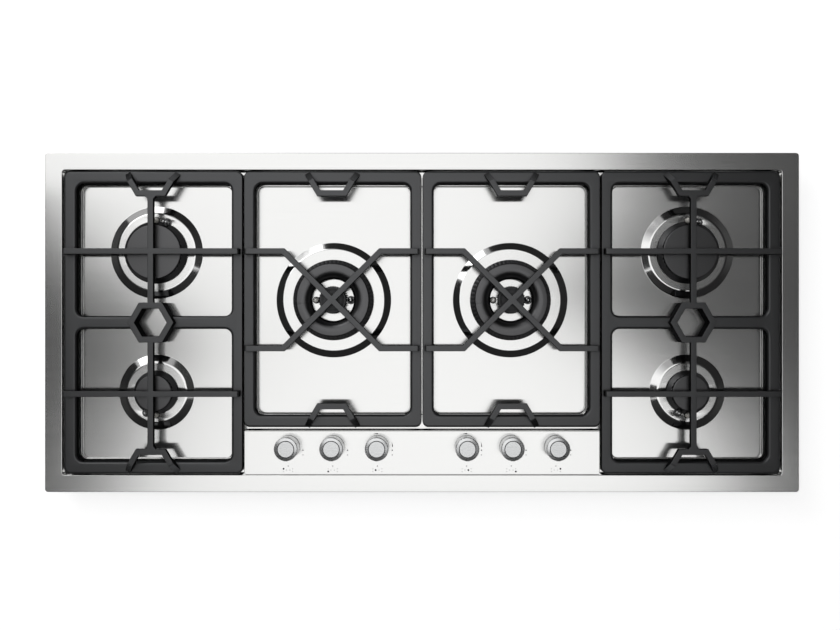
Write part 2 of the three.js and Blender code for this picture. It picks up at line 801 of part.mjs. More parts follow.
// Cast cup under the pan: closed bottom, flange against the pan, throat through it, side inlet
function burnerBase({ kind, sizes }) {
  const underPan = -sheet - seatGap;
  const cup = sizes.throat + throatWall;
  const flange = sizes.throat + (kind === "wok" ? wokFlange : discFlange);
  const bottom = underPan - baseDepth;
  const body = turned(
    [
      [0, bottom],
      [cup, bottom],
      [cup, underPan - baseFlangeThick],
      [flange, underPan - baseFlangeThick],
      [flange, underPan],
      [sizes.throat, underPan],
      [sizes.throat, throatRise],
      [sizes.throat - throatWall, throatRise],
      [sizes.throat - throatWall, bottom + baseFloor],
      [0, bottom + baseFloor],
    ],
    castingSides,
  );
  const bossStart = cup - throatWall;
  const boss = cylinder(bossRadius, bossStart, cup + bossLength, smallSides).rotateY(Math.PI / 2);
  return join(body, boss.translate(0, 0, pipeHeight - platformZ));
}

function radialPorts(count, inner, outer, low, high, phase = 0) {
  return Array.from({ length: count }, (_, i) => {
    const port = new THREE.BoxGeometry(outer - inner, portWidth, high - low);
    const turn = ((i + phase) * 2 * Math.PI) / count;
    return port.translate((inner + outer) / 2, 0, (low + high) / 2).rotateZ(turn);
  });
}

// Flame spreader of a disc burner: a bowl with a wide lower edge and ports through its wall
function discSpreader(burner) {
  const { across, capFlat, throat, ports, sides } = burner.sizes;
  const edge = across / 2;
  const wall = capFlat / 2 + capRim - capOverhang;
  const inside = wall - spreaderWall;
  const top = capUnder - seatGap;
  const shoulder = flangeRise + flangeThick + shoulderRise;
  const bowl = turned(
    [
      [throat - throatWall, spreaderUnder],
      [edge - flangeThick, spreaderUnder],
      [edge, flangeRise],
      [edge, flangeRise + flangeThick],
      [wall, shoulder],
      [wall, top],
      [inside, top],
      [inside, spreaderUnder + spreaderFloor],
      [throat - throatWall, spreaderUnder + spreaderFloor],
      [throat - throatWall, spreaderUnder],
    ],
    sides,
  );
  const slots = radialPorts(ports, inside - cutOver, wall + cutOver, shoulder, top + cutOver);
  const { electrode, thermocouple } = probesOf(burner);
  const notches = [
    [ceramicRadius + 2 * probeGap, electrode],
    [collarRadius + 2 * probeGap, thermocouple],
  ].map(([radius, [x, y]]) => cylinder(radius, -cutOver, top + cutOver, holeSides).translate(x, y, 0));
  return cut(bowl, ...slots, ...notches);
}

// Disc cap: flat top, rounded edge, and a rib below that sits inside the spreader's wall
function discCap({ sizes }) {
  const flat = sizes.capFlat / 2;
  const edge = flat + capRim;
  const rib = edge - capOverhang - spreaderWall - seatGap;
  return turned(
    [
      [0, capUnder],
      [rib - capRibWall, capUnder],
      [rib - capRibWall, capUnder - capRib],
      [rib, capUnder - capRib],
      [rib, capUnder],
      [edge, capUnder],
      [edge, capZ - capRim],
      [flat, capZ],
      [0, capZ],
    ],
    sizes.sides,
  );
}

// Flame spreader of a wok burner: outer ring with a gas channel, inner bowl, four spokes between
const wokWall = wok.capFlat / 2 + capRim - capOverhang;
const wokChannelOut = wokWall - spreaderWall;
const wokRingIn = wokHole / 2 + capRibWall;
const wokInnerTop = capUnder - wokInnerCapDrop - seatGap;
const wokInnerWall = wokInnerAcross / 2 - capOverhang;
const wokLipTop = capZ - wokRingCapFall;

function wokSpreader() {
  const { across, throat, ports, sides } = wok;
  const edge = across / 2;
  const shoulder = flangeRise + flangeThick + shoulderRise;
  const top = capUnder - seatGap;
  const innerTop = wokLipTop - wokRingCapLip - seatGap;
  const floorTop = spreaderUnder + spreaderFloor;
  const ring = turned(
    [
      [wokRingIn, spreaderUnder],
      [edge - flangeThick, spreaderUnder],
      [edge, flangeRise],
      [edge, flangeRise + flangeThick],
      [wokWall, shoulder],
      [wokWall, top],
      [wokChannelOut, top],
      [wokChannelOut, floorTop],
      [wokRingIn + spreaderWall, floorTop],
      [wokRingIn + spreaderWall, innerTop],
      [wokRingIn, innerTop],
      [wokRingIn, spreaderUnder],
    ],
    sides,
  );
  const bowl = turned(
    [
      [throat - throatWall, spreaderUnder],
      [wokInnerWall, spreaderUnder],
      [wokInnerWall, wokInnerTop],
      [wokInnerWall - spreaderWall, wokInnerTop],
      [wokInnerWall - spreaderWall, floorTop],
      [throat - throatWall, floorTop],
      [throat - throatWall, spreaderUnder],
    ],
    wokInnerSides,
  );
  const spokes = [45, 135, 225, 315].map((angle) => {
    const run = {
      left: wokInnerWall - spreaderWall / 2,
      right: wokRingIn + spreaderWall / 2,
      front: -spokeWidth / 2,
      back: spokeWidth / 2,
    };
    return block(run, spreaderUnder, spreaderUnder + spokeHeight).rotateZ(degrees(angle));
  });
  const outerPorts = radialPorts(
    ports,
    wokChannelOut - cutOver,
    wokWall + cutOver,
    shoulder,
    top + cutOver,
    0.5,
  );
  const innerPorts = radialPorts(
    wokInnerPorts,
    wokInnerWall - spreaderWall - cutOver,
    wokInnerWall + cutOver,
    floorTop + portWidth,
    wokInnerTop + cutOver,
    0.5,
  );
  return cut(join(ring, bowl, ...spokes), ...outerPorts, ...innerPorts);
}

// Ring cap of a wok burner: rounded outer edge, top that falls towards the opening in the middle
function wokRingCap() {
  const flat = wok.capFlat / 2;
  const inner = wokHole / 2;
  const crownWidth = (flat - inner) / 3; // as wide as the slope and the inner edge
  return turned(
    [
      [inner, wokLipTop - wokRingCapLip],
      [wokRingIn + spreaderWall + seatGap, wokLipTop - wokRingCapLip],
      [flat - spreaderWall, capUnder],
      [flat + capRim, capUnder],
      [flat + capRim, capZ - capRim],
      [flat, capZ],
      [flat - crownWidth, capZ - capRim / 3],
      [inner + crownWidth, capZ - wokRingCapFall / 2],
      [inner + capRim / 2, wokLipTop],
      [inner, wokLipTop - capRim / 2],
      [inner, wokLipTop - wokRingCapLip],
    ],
    wok.sides,
  );
}

function wokInnerCap() {
  const top = capZ - wokInnerCapDrop;
  const under = capUnder - wokInnerCapDrop;
  const edge = wokInnerAcross / 2;
  const rib = wokInnerWall - spreaderWall - seatGap;
  return turned(
    [
      [0, under - capRib],
      [rib, under - capRib],
      [rib, under],
      [edge, under],
      [edge, top - capRim],
      [edge - capRim, top],
      [0, top],
    ],
    wokInnerSides,
  );
}

// Electrode: white ceramic body with a metal pin
function electrode() {
  return turned(
    [
      [0, -probeDepth],
      [ceramicRadius, -probeDepth],
      [ceramicRadius, ceramicRise],
      [pinRadius, ceramicRise],
      [pinRadius, pinRise],
      [0, pinRise],
    ],
    smallSides,
  );
}

// Thermocouple: fixing collar and a sheath
function thermocouple() {
  return turned(
    [
      [0, -probeDepth],
      [collarRadius, -probeDepth],
      [collarRadius, collarRise],
      [sheathRadius, collarRise],
      [sheathRadius, sheathRise],
      [0, sheathRise],
    ],
    smallSides,
  );
}

// Knob, hollow, with a bored boss; heights are above the control panel. Its notch marks the front.
const knobBottom = pushTravel + seatGap;
const spindleTop = knobBoreTop - pushTravel - seatGap;

function knob() {
  const boss = spindleRadius + seatGap;
  const body = turned(
    [
      [0, knobBoreTop],
      [boss, knobBoreTop],
      [boss, knobBottom + knobBossLift],
      [knobBoss, knobBottom + knobBossLift],
      [knobBoss, knobTop - knobCeiling],
      [knobRadius - knobWall, knobTop - knobCeiling],
      [knobRadius - knobWall, knobBottom],
      [knobRadius, knobBottom],
      [knobRadius, knobTop - knobShoulderRise],
      [knobRadius - knobShoulder, knobTop],
      [0, knobTop],
    ],
    knobSides,
  );
  const notch = new THREE.BoxGeometry(knobNotchWidth, 2 * knobNotchDepth, 2 * knobNotchDepth);
  return cut(body, notch.translate(0, -knobRadius, knobTop - knobShoulderRise));
}

// Tap spindle with a D-flat where the knob grips it
const tapTop = shelfZ - sheet - seatGap;

function spindle() {
  const low = tapTop - tapBore + seatGap - trimHeight;
  const shaft = cylinder(spindleRadius, low, spindleTop, castingSides);
  const flat = {
    left: spindleRadius - spindleFlat,
    right: 2 * spindleRadius,
    front: -2 * spindleRadius,
    back: 2 * spindleRadius,
  };
  return cut(shaft, block(flat, knobBottom, spindleTop + cutOver));
}

// Gas tap with its outlet pipe. The route is in the cooktop's frame, from the tap to its burner.
function feedRoute({ burner, x }) {
  const { kind, side, sizes } = burner;
  const start = [x, knobY + tapOutlet - weld, pipeHeight];
  const reach = sizes.throat + throatWall + bossLength + seatGap;
  if (kind === "wok") {
    const turnY = knobY + wokLane;
    return [
      start,
      [x, turnY, pipeHeight],
      [burner.x, turnY + wokSlant, pipeHeight],
      [burner.x, burner.y - reach, pipeHeight],
    ];
  }
  if (kind === "semi") {
    return [start, [x, burner.y, pipeHeight], [burner.x - side * reach, burner.y, pipeHeight]];
  }
  const laneY = knobY + rapidLane;
  const laneX = burner.x + side * (reach + rapidReturn);
  return [
    start,
    [x, laneY, pipeHeight],
    [laneX, laneY, pipeHeight],
    [laneX, burner.y, pipeHeight],
    [burner.x + side * reach, burner.y, pipeHeight],
  ];
}

const railPipeFlat = railPipeRadius * Math.cos(Math.PI / castingSides); // to the flat side of its section

function gasTap(place) {
  const bore = holeRound(spindleRadius + seatGap, smallSides);
  const body = turned(
    [
      [0, tapBottom],
      [tapBodyRadius, tapBottom],
      [tapBodyRadius, tapBodyTop],
      [tapNeckRadius, tapBodyTop],
      [tapNeckRadius, tapTop - tapFlangeThick],
      [tapFlangeRadius, tapTop - tapFlangeThick],
      [tapFlangeRadius, tapTop],
      [bore, tapTop],
      [bore, tapTop - tapBore],
      [0, tapTop - tapBore],
    ],
    smallSides,
  );
  const outlet = cylinder(outletRadius, 0, tapOutlet, smallSides).rotateX(-Math.PI / 2);
  const saddle = {
    left: -saddleWidth / 2,
    right: saddleWidth / 2,
    front: railPipeY + railPipeFlat + seatGap - knobY,
    back: -tapBodyRadius / 2,
  };
  const saddleLow = railPipeHeight - saddleHeight / 2;
  const feed = pipe(feedRoute(place), pipeRadius, pipeBend, smallSides).translate(-place.x, -place.y, 0);
  return join(
    body,
    outlet.translate(0, 0, pipeHeight),
    block(saddle, saddleLow, saddleLow + saddleHeight),
    feed,
  );
}

// Gas rail along the taps, led round to the inlet nut behind the casing
function gasRail() {
  const start = -(knobs.at(-1).x + railPipeOverhang);
  const route = [
    [start, railPipeY, railPipeHeight],
    [inletX, railPipeY, railPipeHeight],
    [inletX, inletFace - weld, railPipeHeight],
  ];
  const nut = cylinder(inletNutRadius, 0, inletNutLength, nutSides).rotateX(Math.PI / 2);
  const bore = cylinder(inletBoreRadius, -cutOver, inletBoreDepth, castingSides).rotateX(Math.PI / 2);
  const joined = join(
    pipe(route, railPipeRadius, railPipeBend, castingSides),
    nut.translate(inletX, inletFace, railPipeHeight),
  );
  return cut(joined, bore.translate(inletX, inletFace, railPipeHeight));
}

function sparkGenerator() {
  const low = casingSheet + seatGap;
  const box = block(centredBox(sparkWidth, sparkDepth), low, low + sparkHeight);
  const terminals = knobs.map((_, i) => {
    const stub = centredBox(terminalWidth, 2 * terminalLength);
    const x = (i - (knobs.length - 1) / 2) * terminalPitch;
    return block(stub, low + terminalWidth, low + 2 * terminalWidth).translate(x, -sparkDepth / 2, 0);
  });
  return join(box, ...terminals);
}

// Finishes
const brushedSteel = { color: 0xc6c6c4, roughness: 0.32, metalness: 1 };
const castIron = { color: 0x2c2c2e, roughness: 0.75, metalness: 0.1 };
const blackEnamel = { color: 0x1b1b1d, roughness: 0.45, metalness: 0.1 };
const galvanised = { color: 0xa9adb0, roughness: 0.5, metalness: 0.9 };
const castAluminium = { color: 0xb4b6b8, roughness: 0.5, metalness: 0.9 };
const brass = { color: 0xb5924c, roughness: 0.4, metalness: 0.9 };
const ceramic = { color: 0xf1efe8, roughness: 0.35, metalness: 0 };
const foam = { color: 0x2a2a2b, roughness: 0.95, metalness: 0 };
const knobMetal = { color: 0xbfc1c2, roughness: 0.28, metalness: 1 };
const lightPlastic = { color: 0xd9d8d2, roughness: 0.5, metalness: 0 };

const cooktop = new THREE.Group();

function place(parent, name, form, finish, x = 0, y = 0, z = 0) {
  const mesh = new THREE.Mesh(join(form), new THREE.MeshStandardMaterial(finish));
  mesh.name = name;
  mesh.position.set(x, y, z);
  parent.add(mesh);
  return mesh;
}

place(cooktop, "hob_pan", hobPan(), brushedSteel);
place(cooktop, "control_panel", controlPanel(), brushedSteel);
place(cooktop, "lower_casing", lowerCasing(), galvanised);
place(cooktop, "worktop_seal", worktopSeal(), foam);
place(cooktop, "gas_rail", gasRail(), castAluminium);
place(cooktop, "spark_generator", sparkGenerator(), lightPlastic, 0, sparkY, 0);

for (const side of [-1, 1]) {
  const hand = side < 0 ? "left" : "right";
  place(cooktop, `grate_${hand}`, sideGrate(side), castIron, side * sideX, 0, trimHeight);
  const centre = centreGrate(side);
  place(cooktop, `grate_centre_${hand}`, centre, castIron, side * centreX, wokBurnerY, trimHeight);
}

for (const burner of burners) {
  const stand = new THREE.Group();
  stand.position.set(burner.x, burner.y, platformZ);
  cooktop.add(stand);
  const isWok = burner.kind === "wok";
  const inwards = burner.side < 0 ? 0 : 180; // towards the middle of the cooktop
  const inletAngle = { rapid: inwards + 180, semi: inwards, wok: 270 }[burner.kind];
  const base = place(stand, `${burner.name}_base`, burnerBase(burner), castAluminium);
  base.rotation.z = degrees(inletAngle);
  place(stand, `${burner.name}_spreader`, isWok ? wokSpreader() : discSpreader(burner), blackEnamel);
  if (isWok) {
    place(stand, `${burner.name}_ring_cap`, wokRingCap(), blackEnamel);
    place(stand, `${burner.name}_inner_cap`, wokInnerCap(), blackEnamel);
  } else {
    place(stand, `${burner.name}_cap`, discCap(burner), blackEnamel);
  }
  const probes = probesOf(burner);
  place(stand, `${burner.name}_electrode`, electrode(), ceramic, ...probes.electrode, 0);
  place(stand, `${burner.name}_thermocouple`, thermocouple(), brass, ...probes.thermocouple, 0);
}

for (const control of knobs) {
  const { number, x, y } = control;
  place(cooktop, `knob_${number}`, knob(), knobMetal, x, y, trimHeight);
  place(cooktop, `spindle_${number}`, spindle(), brass, x, y, trimHeight);
  place(cooktop, `tap_${number}`, gasTap(control), castAluminium, x, y, 0);
}

export default cooktop;
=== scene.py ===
import bmesh
import bpy
import numpy as np
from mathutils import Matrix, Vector
from mathutils.geometry import tessellate_polygon


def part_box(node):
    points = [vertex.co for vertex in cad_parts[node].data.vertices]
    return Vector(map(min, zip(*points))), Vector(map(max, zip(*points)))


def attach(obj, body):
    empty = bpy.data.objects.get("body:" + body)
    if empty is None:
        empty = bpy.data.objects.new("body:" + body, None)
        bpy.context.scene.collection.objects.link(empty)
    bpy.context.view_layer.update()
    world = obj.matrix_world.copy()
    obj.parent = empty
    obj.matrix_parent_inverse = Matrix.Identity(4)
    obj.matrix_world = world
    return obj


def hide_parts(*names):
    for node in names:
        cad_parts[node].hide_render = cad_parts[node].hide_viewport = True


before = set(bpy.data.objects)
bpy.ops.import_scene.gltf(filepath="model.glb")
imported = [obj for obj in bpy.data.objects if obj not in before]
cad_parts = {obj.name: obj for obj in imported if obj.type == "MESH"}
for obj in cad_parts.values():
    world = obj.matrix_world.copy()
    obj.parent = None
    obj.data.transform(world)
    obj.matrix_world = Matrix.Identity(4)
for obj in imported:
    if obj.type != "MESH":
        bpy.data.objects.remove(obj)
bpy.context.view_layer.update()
mm = 0.001
print("stage: frame loaded,", len(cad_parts), "nodes")


# surfaces worked out on grids, in mm

def cornersOf(node):
    # a node's box in mm, as its low and its high corner
    low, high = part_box(node)
    return np.array(low) / mm, np.array(high) / mm


def middleOf(node):
    low, high = cornersOf(node)
    return (low + high) / 2


def softOutline(corners, radii, steps=8):
    # Each corner of an anticlockwise outline gives way to an arc that touches both its sides. The arc's
    # middle lies one radius inside both, and the outward normal turns evenly from one side's to the next's.
    corners = np.array(corners, float)
    radii = np.broadcast_to(radii, len(corners))
    along = np.roll(corners, -1, 0) - corners
    along /= np.linalg.norm(along, axis=1)[:, None]
    out = np.column_stack((along[:, 1], -along[:, 0]))
    points, normals = [], []
    for corner, radius, before, after in zip(corners, radii, np.roll(out, 1, 0), out):
        turn = np.arctan2(before[0] * after[1] - before[1] * after[0], before @ after)
        mitre = (before + after) / (1 + before @ after)
        if radius == 0 or abs(turn) < 1e-6:
            points.append(corner[None])
            normals.append(mitre[None])
            continue
        angle = np.arctan2(before[1], before[0]) + turn * np.linspace(0, 1, steps + 1)
        normal = np.column_stack((np.cos(angle), np.sin(angle)))
        points.append(corner - np.sign(turn) * radius * (mitre - normal))
        normals.append(normal)
    return np.concatenate(points), np.concatenate(normals)


def boxOutline(left, right, front, back, radius, steps=8):
    # a rectangle whose four corners give way to arcs
    return softOutline([(left, front), (right, front), (right, back), (left, back)], radius, steps)


def circleOutline(x, y, radius, steps):
    # points at equal angles, one radius from the middle, with the outward normals
    angle = np.linspace(0, 2 * np.pi, steps, endpoint=False)
    normal = np.column_stack((np.cos(angle), np.sin(angle)))
    return np.array([x, y]) + radius * normal, normal


def gridFaces(rows, columns, closeRows, closeColumns):
    # quads of a grid of points that are numbered row by row
    row, column = np.meshgrid(
        np.arange(rows - (not closeRows)), np.arange(columns - (not closeColumns)), indexing="ij")
    nextRow, nextColumn = (row + 1) % rows, (column + 1) % columns
    corners = (row * columns + column, row * columns + nextColumn,
               nextRow * columns + nextColumn, nextRow * columns + column)
    return np.stack(corners, -1).reshape(-1, 4).tolist()


def carried(outline, profile, closed=False):
    # a profile of (distance out, height) carried round an outline: each point moves out along its normal
    points, normals = outline
    profile = np.array(profile, float)
    flat = points[None] + profile[:, :1, None] * normals[None]
    height = np.broadcast_to(profile[:, 1, None], flat.shape[:2])
    grid = np.concatenate((flat, height[..., None]), -1)
    return grid.reshape(-1, 3), gridFaces(len(profile), len(points), closed, True)


def filled(loops, height, up=True):
    # a level face inside the first loop and outside the others
    triangles = tessellate_polygon([[Vector((x, y, 0)) for x, y in loop] for loop in loops])
    flat = np.concatenate(loops)
    a, b, c = (flat[[triangle[i] for triangle in triangles]] for i in range(3))
    area = (b[:, 0] - a[:, 0]) * (c[:, 1] - a[:, 1]) - (b[:, 1] - a[:, 1]) * (c[:, 0] - a[:, 0])
    faces = [list(t) if (s > 0) == up else list(t)[::-1] for t, s in zip(triangles, area) if abs(s) > 1e-9]
    return np.column_stack((flat, np.full(len(flat), float(height)))), faces


def offsetBy(outline, distance):
    # each point of the outline, moved out along its own normal
    points, normals = outline
    return points + distance * normals


def turned(radius, height, steps, place=(0, 0, 0), ring=False):
    # a profile of radii and heights turned about a vertical axis; both may also vary with the angle
    angle = np.linspace(0, 2 * np.pi, steps, endpoint=False)
    shape = np.broadcast_shapes(np.shape(radius), np.shape(height), (len(radius), steps))
    grid = np.empty(shape + (3,))
    grid[..., 0] = radius * np.cos(angle)
    grid[..., 1] = radius * np.sin(angle)
    grid[..., 2] = height
    return grid.reshape(-1, 3) + place, gridFaces(len(radius), steps, ring, True)


def turnedProfile(corners, radii, steps, place=(0, 0, 0), ring=False, bend=4):
    # a turned form whose profile's corners are eased; the profile runs anticlockwise, with out to the right
    points = softOutline(corners, radii, bend)[0]
    return turned(points[:, :1], points[:, 1:], steps, place, ring)


def slots(count, width, steps):
    # for a form turned in equal steps: 1 at the steps inside a slot and 0 outside; the slots stand at equal
    # angles, and their width is a share of their spacing
    angle = np.linspace(0, 1, steps, endpoint=False) * count
    return (np.abs(angle - np.round(angle)) < width / 2).astype(float)


def sectionOf(halfWidth, topEdge, underEdge, steps=3):
    # a bar's section as (across, drop from the top or rise from the underside, is it on the top half)
    turn = np.linspace(0, np.pi / 2, steps + 1)
    top = np.column_stack((halfWidth - topEdge * (1 - np.sin(turn)), topEdge * (1 - np.cos(turn))))
    under = np.column_stack((halfWidth - underEdge * (1 - np.cos(turn)), underEdge * (1 - np.sin(turn))))
    right = np.concatenate((top, under))
    onTop = np.repeat([True, False], steps + 1)
    left = right[::-1] * (-1, 1)
    return np.concatenate((right, left)), np.concatenate((onTop, onTop[::-1]))


def barAlong(corners, section, topRise, underRise):
    # A bar carried along a level route with mitred corners. The heights of its top and its underside
    # depend on the distance to the nearer end, as pairs of (distance, height).
    corners = np.array(corners, float)
    reach = np.concatenate(([0], np.cumsum(np.linalg.norm(np.diff(corners, axis=0), axis=1))))
    marks = np.array([distance for distance, _ in [*topRise, *underRise]])
    stops = np.concatenate((marks, reach[-1] - marks, reach))
    stops = np.unique(np.round(stops[(stops >= 0) & (stops <= reach[-1])], 4))
    route = np.column_stack([np.interp(stops, reach, corners[:, i]) for i in range(2)])
    along = np.diff(route, axis=0)
    along /= np.linalg.norm(along, axis=1)[:, None]
    side = np.column_stack((along[:, 1], -along[:, 0]))
    before, after = np.vstack((side[:1], side)), np.vstack((side, side[-1:]))
    mitre = (before + after) / (1 + (before * after).sum(1))[:, None]
    toEnd = np.minimum(stops, reach[-1] - stops)
    top = np.interp(toEnd, *np.transpose(topRise))[:, None]
    under = np.interp(toEnd, *np.transpose(underRise))[:, None]
    (across, shift), onTop = section[0].T, section[1]
    flat = route[:, None] + across[None, :, None] * mitre[:, None]
    height = np.where(onTop, top - shift, under + shift)
    grid = np.concatenate((flat, height[..., None]), -1)
    count = len(across)
    faces = gridFaces(len(stops), count, False, True)
    faces += [list(range(count)), list(range((len(stops) - 1) * count, len(stops) * count))[::-1]]
    return grid.reshape(-1, 3), faces


def moved(part, x=0, y=0, z=0, turn=0):
    # turned about the vertical axis by degrees, then moved
    points, faces = part
    angle = np.radians(turn)
    spin = np.array([[np.cos(angle), np.sin(angle), 0], [-np.sin(angle), np.cos(angle), 0], [0, 0, 1]])
    return points @ spin + (x, y, z), faces


def plate(outline, low, high, edge=0.0, holes=(), steps=3):
    # an upright wall round an outline, closed by level faces, with a round top edge; holes go through it
    turn = np.linspace(0, np.pi / 2, steps + 1) if edge else np.array([0.0])
    top = np.column_stack((-edge * (1 - np.cos(turn)), high - edge * (1 - np.sin(turn))))
    wall = np.vstack(([0, low], top))
    parts = [carried(outline, wall)]
    parts += [carried(hole, wall * (-1, 1)) for hole in holes]
    parts.append(filled([offsetBy(outline, -edge), *[offsetBy(hole, edge) for hole in holes]], high))
    parts.append(filled([outline[0], *[hole[0] for hole in holes]], low, up=False))
    return parts


def makePiece(name, parts, materials, body, replaced=(), smoothAngle=38, sheet=0.0):
    # parts are (points, faces) or (points, faces, material number); sheet gives an open skin a thickness
    bm = bmesh.new()
    mesh = bpy.data.meshes.new(name)
    offsets = np.cumsum([0] + [len(part[0]) for part in parts])
    points = np.concatenate([part[0] for part in parts]) * mm
    faces = [[corner + start for corner in face]
             for part, start in zip(parts, offsets.tolist()) for face in part[1]]
    kinds = [kind for part in parts for kind in [part[2] if len(part) > 2 else 0] * len(part[1])]
    mesh.from_pydata(points.tolist(), [], faces)
    mesh.polygons.foreach_set("material_index", kinds)
    bm.from_mesh(mesh)
    bmesh.ops.remove_doubles(bm, verts=bm.verts, dist=2e-6)
    bmesh.ops.dissolve_degenerate(bm, edges=bm.edges, dist=1e-6)
    bmesh.ops.recalc_face_normals(bm, faces=bm.faces)
    if sheet:
        highest = max(bm.faces, key=lambda face: face.calc_center_median().z + 10 * face.calc_area())
        if highest.normal.z < 0:
            bmesh.ops.reverse_faces(bm, faces=bm.faces)
    bm.to_mesh(mesh)
    bm.free()
    mesh.shade_smooth()
    mesh.set_sharp_from_angle(angle=np.radians(smoothAngle))
    for material in materials:
        mesh.materials.append(material)
    piece = bpy.data.objects.new(name, mesh)
    bpy.context.scene.collection.objects.link(piece)
    if sheet:
        solid = piece.modifiers.new("sheet", "SOLIDIFY")
        solid.thickness = sheet * mm
        solid.offset = -1
    piece.modifiers.new("flatFacesStayFlat", "WEIGHTED_NORMAL").keep_sharp = True
    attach(piece, body)
    if replaced:
        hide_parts(*replaced)
    return piece


# finishes, each named for what it is made of and how, save the painted shade in the knobs' grooves

def toLinear(hexColour):
    # sRGB to linear light: a straight part near black, and a power of 2.4 above it
    parts = np.array([int(hexColour[i:i + 2], 16) / 255 for i in (0, 2, 4)])
    linear = np.where(parts <= 0.04045, parts / 12.92, ((parts + 0.055) / 1.055) ** 2.4)
    return (*linear.tolist(), 1.0)


def addNode(tree, kind, settings={}, links={}):
    node = tree.nodes.new(kind)
    for key, value in settings.items():
        if isinstance(key, int) or key in node.inputs:
            node.inputs[key].default_value = value
        else:
            setattr(node, key, value)
    for key, output in links.items():
        tree.links.new(output, node.inputs[key])
    return node


def grainMaterial(name, look):
    # One noise, stretched to the grain's size in mm along X, Y and Z, shifts the colour, the roughness
    # and the surface itself by small shares.
    material = bpy.data.materials.new(name)
    material.use_nodes = True
    tree = material.node_tree
    tree.nodes.clear()
    place = addNode(tree, "ShaderNodeTexCoord")
    size = np.array(look["grain"], float)
    mapping = addNode(tree, "ShaderNodeMapping", {"Scale": (1 / (size * mm)).tolist()},
                      {"Vector": place.outputs["Object"]})
    noise = addNode(tree, "ShaderNodeTexNoise",
                    {"Scale": 1.0, "Detail": look.get("detail", 3.0), "Roughness": 0.6},
                    {"Vector": mapping.outputs["Vector"]})
    colour = addNode(tree, "ShaderNodeMix",
                     {"data_type": "RGBA", 6: toLinear(look["dark"]), 7: toLinear(look["light"])},
                     {0: noise.outputs["Fac"]})
    low, high = look["roughness"]
    rough = addNode(tree, "ShaderNodeMapRange",
                    {"From Min": 0.3, "From Max": 0.7, "To Min": low, "To Max": high},
                    {"Value": noise.outputs["Fac"]})
    bump = addNode(tree, "ShaderNodeBump", {"Strength": look.get("bump", 0.5), "Distance": look["depth"] * mm},
                   {"Height": noise.outputs["Fac"]})
    edge = look.get("edgeGloss", 1.0)
    shader = addNode(tree, "ShaderNodeBsdfPrincipled",
                     {"Metallic": look.get("metallic", 0.0), "Specular Tint": (edge, edge, edge, 1)},
                     {"Base Color": colour.outputs[2], "Roughness": rough.outputs["Result"],
                      "Normal": bump.outputs["Normal"]})
    if "smear" in look:
        # the gloss spreads along one direction of the sheet only
        shader.inputs["Anisotropic"].default_value = look["smear"]
        along = addNode(tree, "ShaderNodeCombineXYZ", {"X": 1.0})
        tree.links.new(along.outputs["Vector"], shader.inputs["Tangent"])
    addNode(tree, "ShaderNodeOutputMaterial", {}, {"Surface": shader.outputs["BSDF"]})
    return material


# stainless steel, ground with a belt along X: fine straight streaks, a satin gloss that smears along them
brushedSteel = grainMaterial("brushedStainlessSteel", {
    "grain": (90, 0.7, 0.7), "dark": "c8c8c7", "light": "d0d0cf", "metallic": 1.0, "smear": 0.9,
    "roughness": (0.13, 0.15), "depth": 0.002, "bump": 0.2})
# the same sheet, buffed bright on the sloping rings round the burners
buffedSteel = grainMaterial("buffedStainlessSteel", {
    "grain": (8, 8, 8), "dark": "c6c6c5", "light": "cecece", "metallic": 1.0,
    "roughness": (0.07, 0.10), "depth": 0.004, "bump": 0.2})
# knobs, turned and satin plated: near even, with a faint grain across the face
satinPlated = grainMaterial("satinPlatedMetal", {
    "grain": (25, 0.8, 0.8), "dark": "bfc0c1", "light": "cfd0d0", "metallic": 1.0,
    "roughness": (0.24, 0.30), "depth": 0.008, "bump": 0.3})
# grey iron, sand cast and coated with matt enamel: a fine orange peel, a broad soft sheen on level faces
# and near black on upright ones, which the low edge gloss gives
castIron = grainMaterial("enamelledCastIron", {
    "grain": (1.1, 1.1, 1.1), "dark": "4a4a4b", "light": "575859", "metallic": 1.0, "edgeGloss": 0.06,
    "roughness": (0.36, 0.42), "depth": 0.03, "bump": 0.3})
# pressed steel with fired black enamel: smoother and darker than the castings
blackEnamel = grainMaterial("firedBlackEnamel", {
    "grain": (1.6, 1.6, 1.6), "dark": "525253", "light": "5b5b5c", "metallic": 1.0, "edgeGloss": 0.1,
    "roughness": (0.30, 0.36), "depth": 0.02, "bump": 0.3})
# the same enamel on the wok burners' small inner caps, dulled by the flames: darker and near matt
dulledEnamel = grainMaterial("flameDulledEnamel", {
    "grain": (1.2, 1.2, 1.2), "dark": "3c3c3d", "light": "4a4a4b", "metallic": 1.0, "edgeGloss": 0.1,
    "roughness": (0.40, 0.50), "depth": 0.04, "bump": 0.4})
# die-cast aluminium, unpolished: dull grey with faint flow marks
castAluminium = grainMaterial("dieCastAluminium", {
    "grain": (4, 4, 4), "dark": "9fa1a2", "light": "b6b8b9", "metallic": 1.0,
    "roughness": (0.45, 0.58), "depth": 0.05})
# brass, turned: warm, with a close machining grain
turnedBrass = grainMaterial("turnedBrass", {
    "grain": (3, 3, 0.5), "dark": "a98a4c", "light": "c2a060", "metallic": 1.0,
    "roughness": (0.28, 0.38), "depth": 0.01})
# alumina ceramic, glazed: clean white with a soft gloss
glazedCeramic = grainMaterial("glazedCeramic", {
    "grain": (2, 2, 2), "dark": "e6e3db", "light": "f2f0ea",
    "roughness": (0.22, 0.30), "depth": 0.01})
# zinc-coated steel sheet, as rolled: large soft spangles
zincSheet = grainMaterial("zincCoatedSheet", {
    "grain": (14, 14, 14), "dark": "9b9fa1", "light": "b4b8ba", "metallic": 1.0, "detail": 1.0,
    "roughness": (0.36, 0.52), "depth": 0.02})
# closed-cell foam strip, cut: dark, dull, finely pitted
cutFoam = grainMaterial("closedCellFoam", {
    "grain": (0.7, 0.7, 0.7), "dark": "242425", "light": "343435",
    "roughness": (0.85, 0.95), "depth": 0.25})
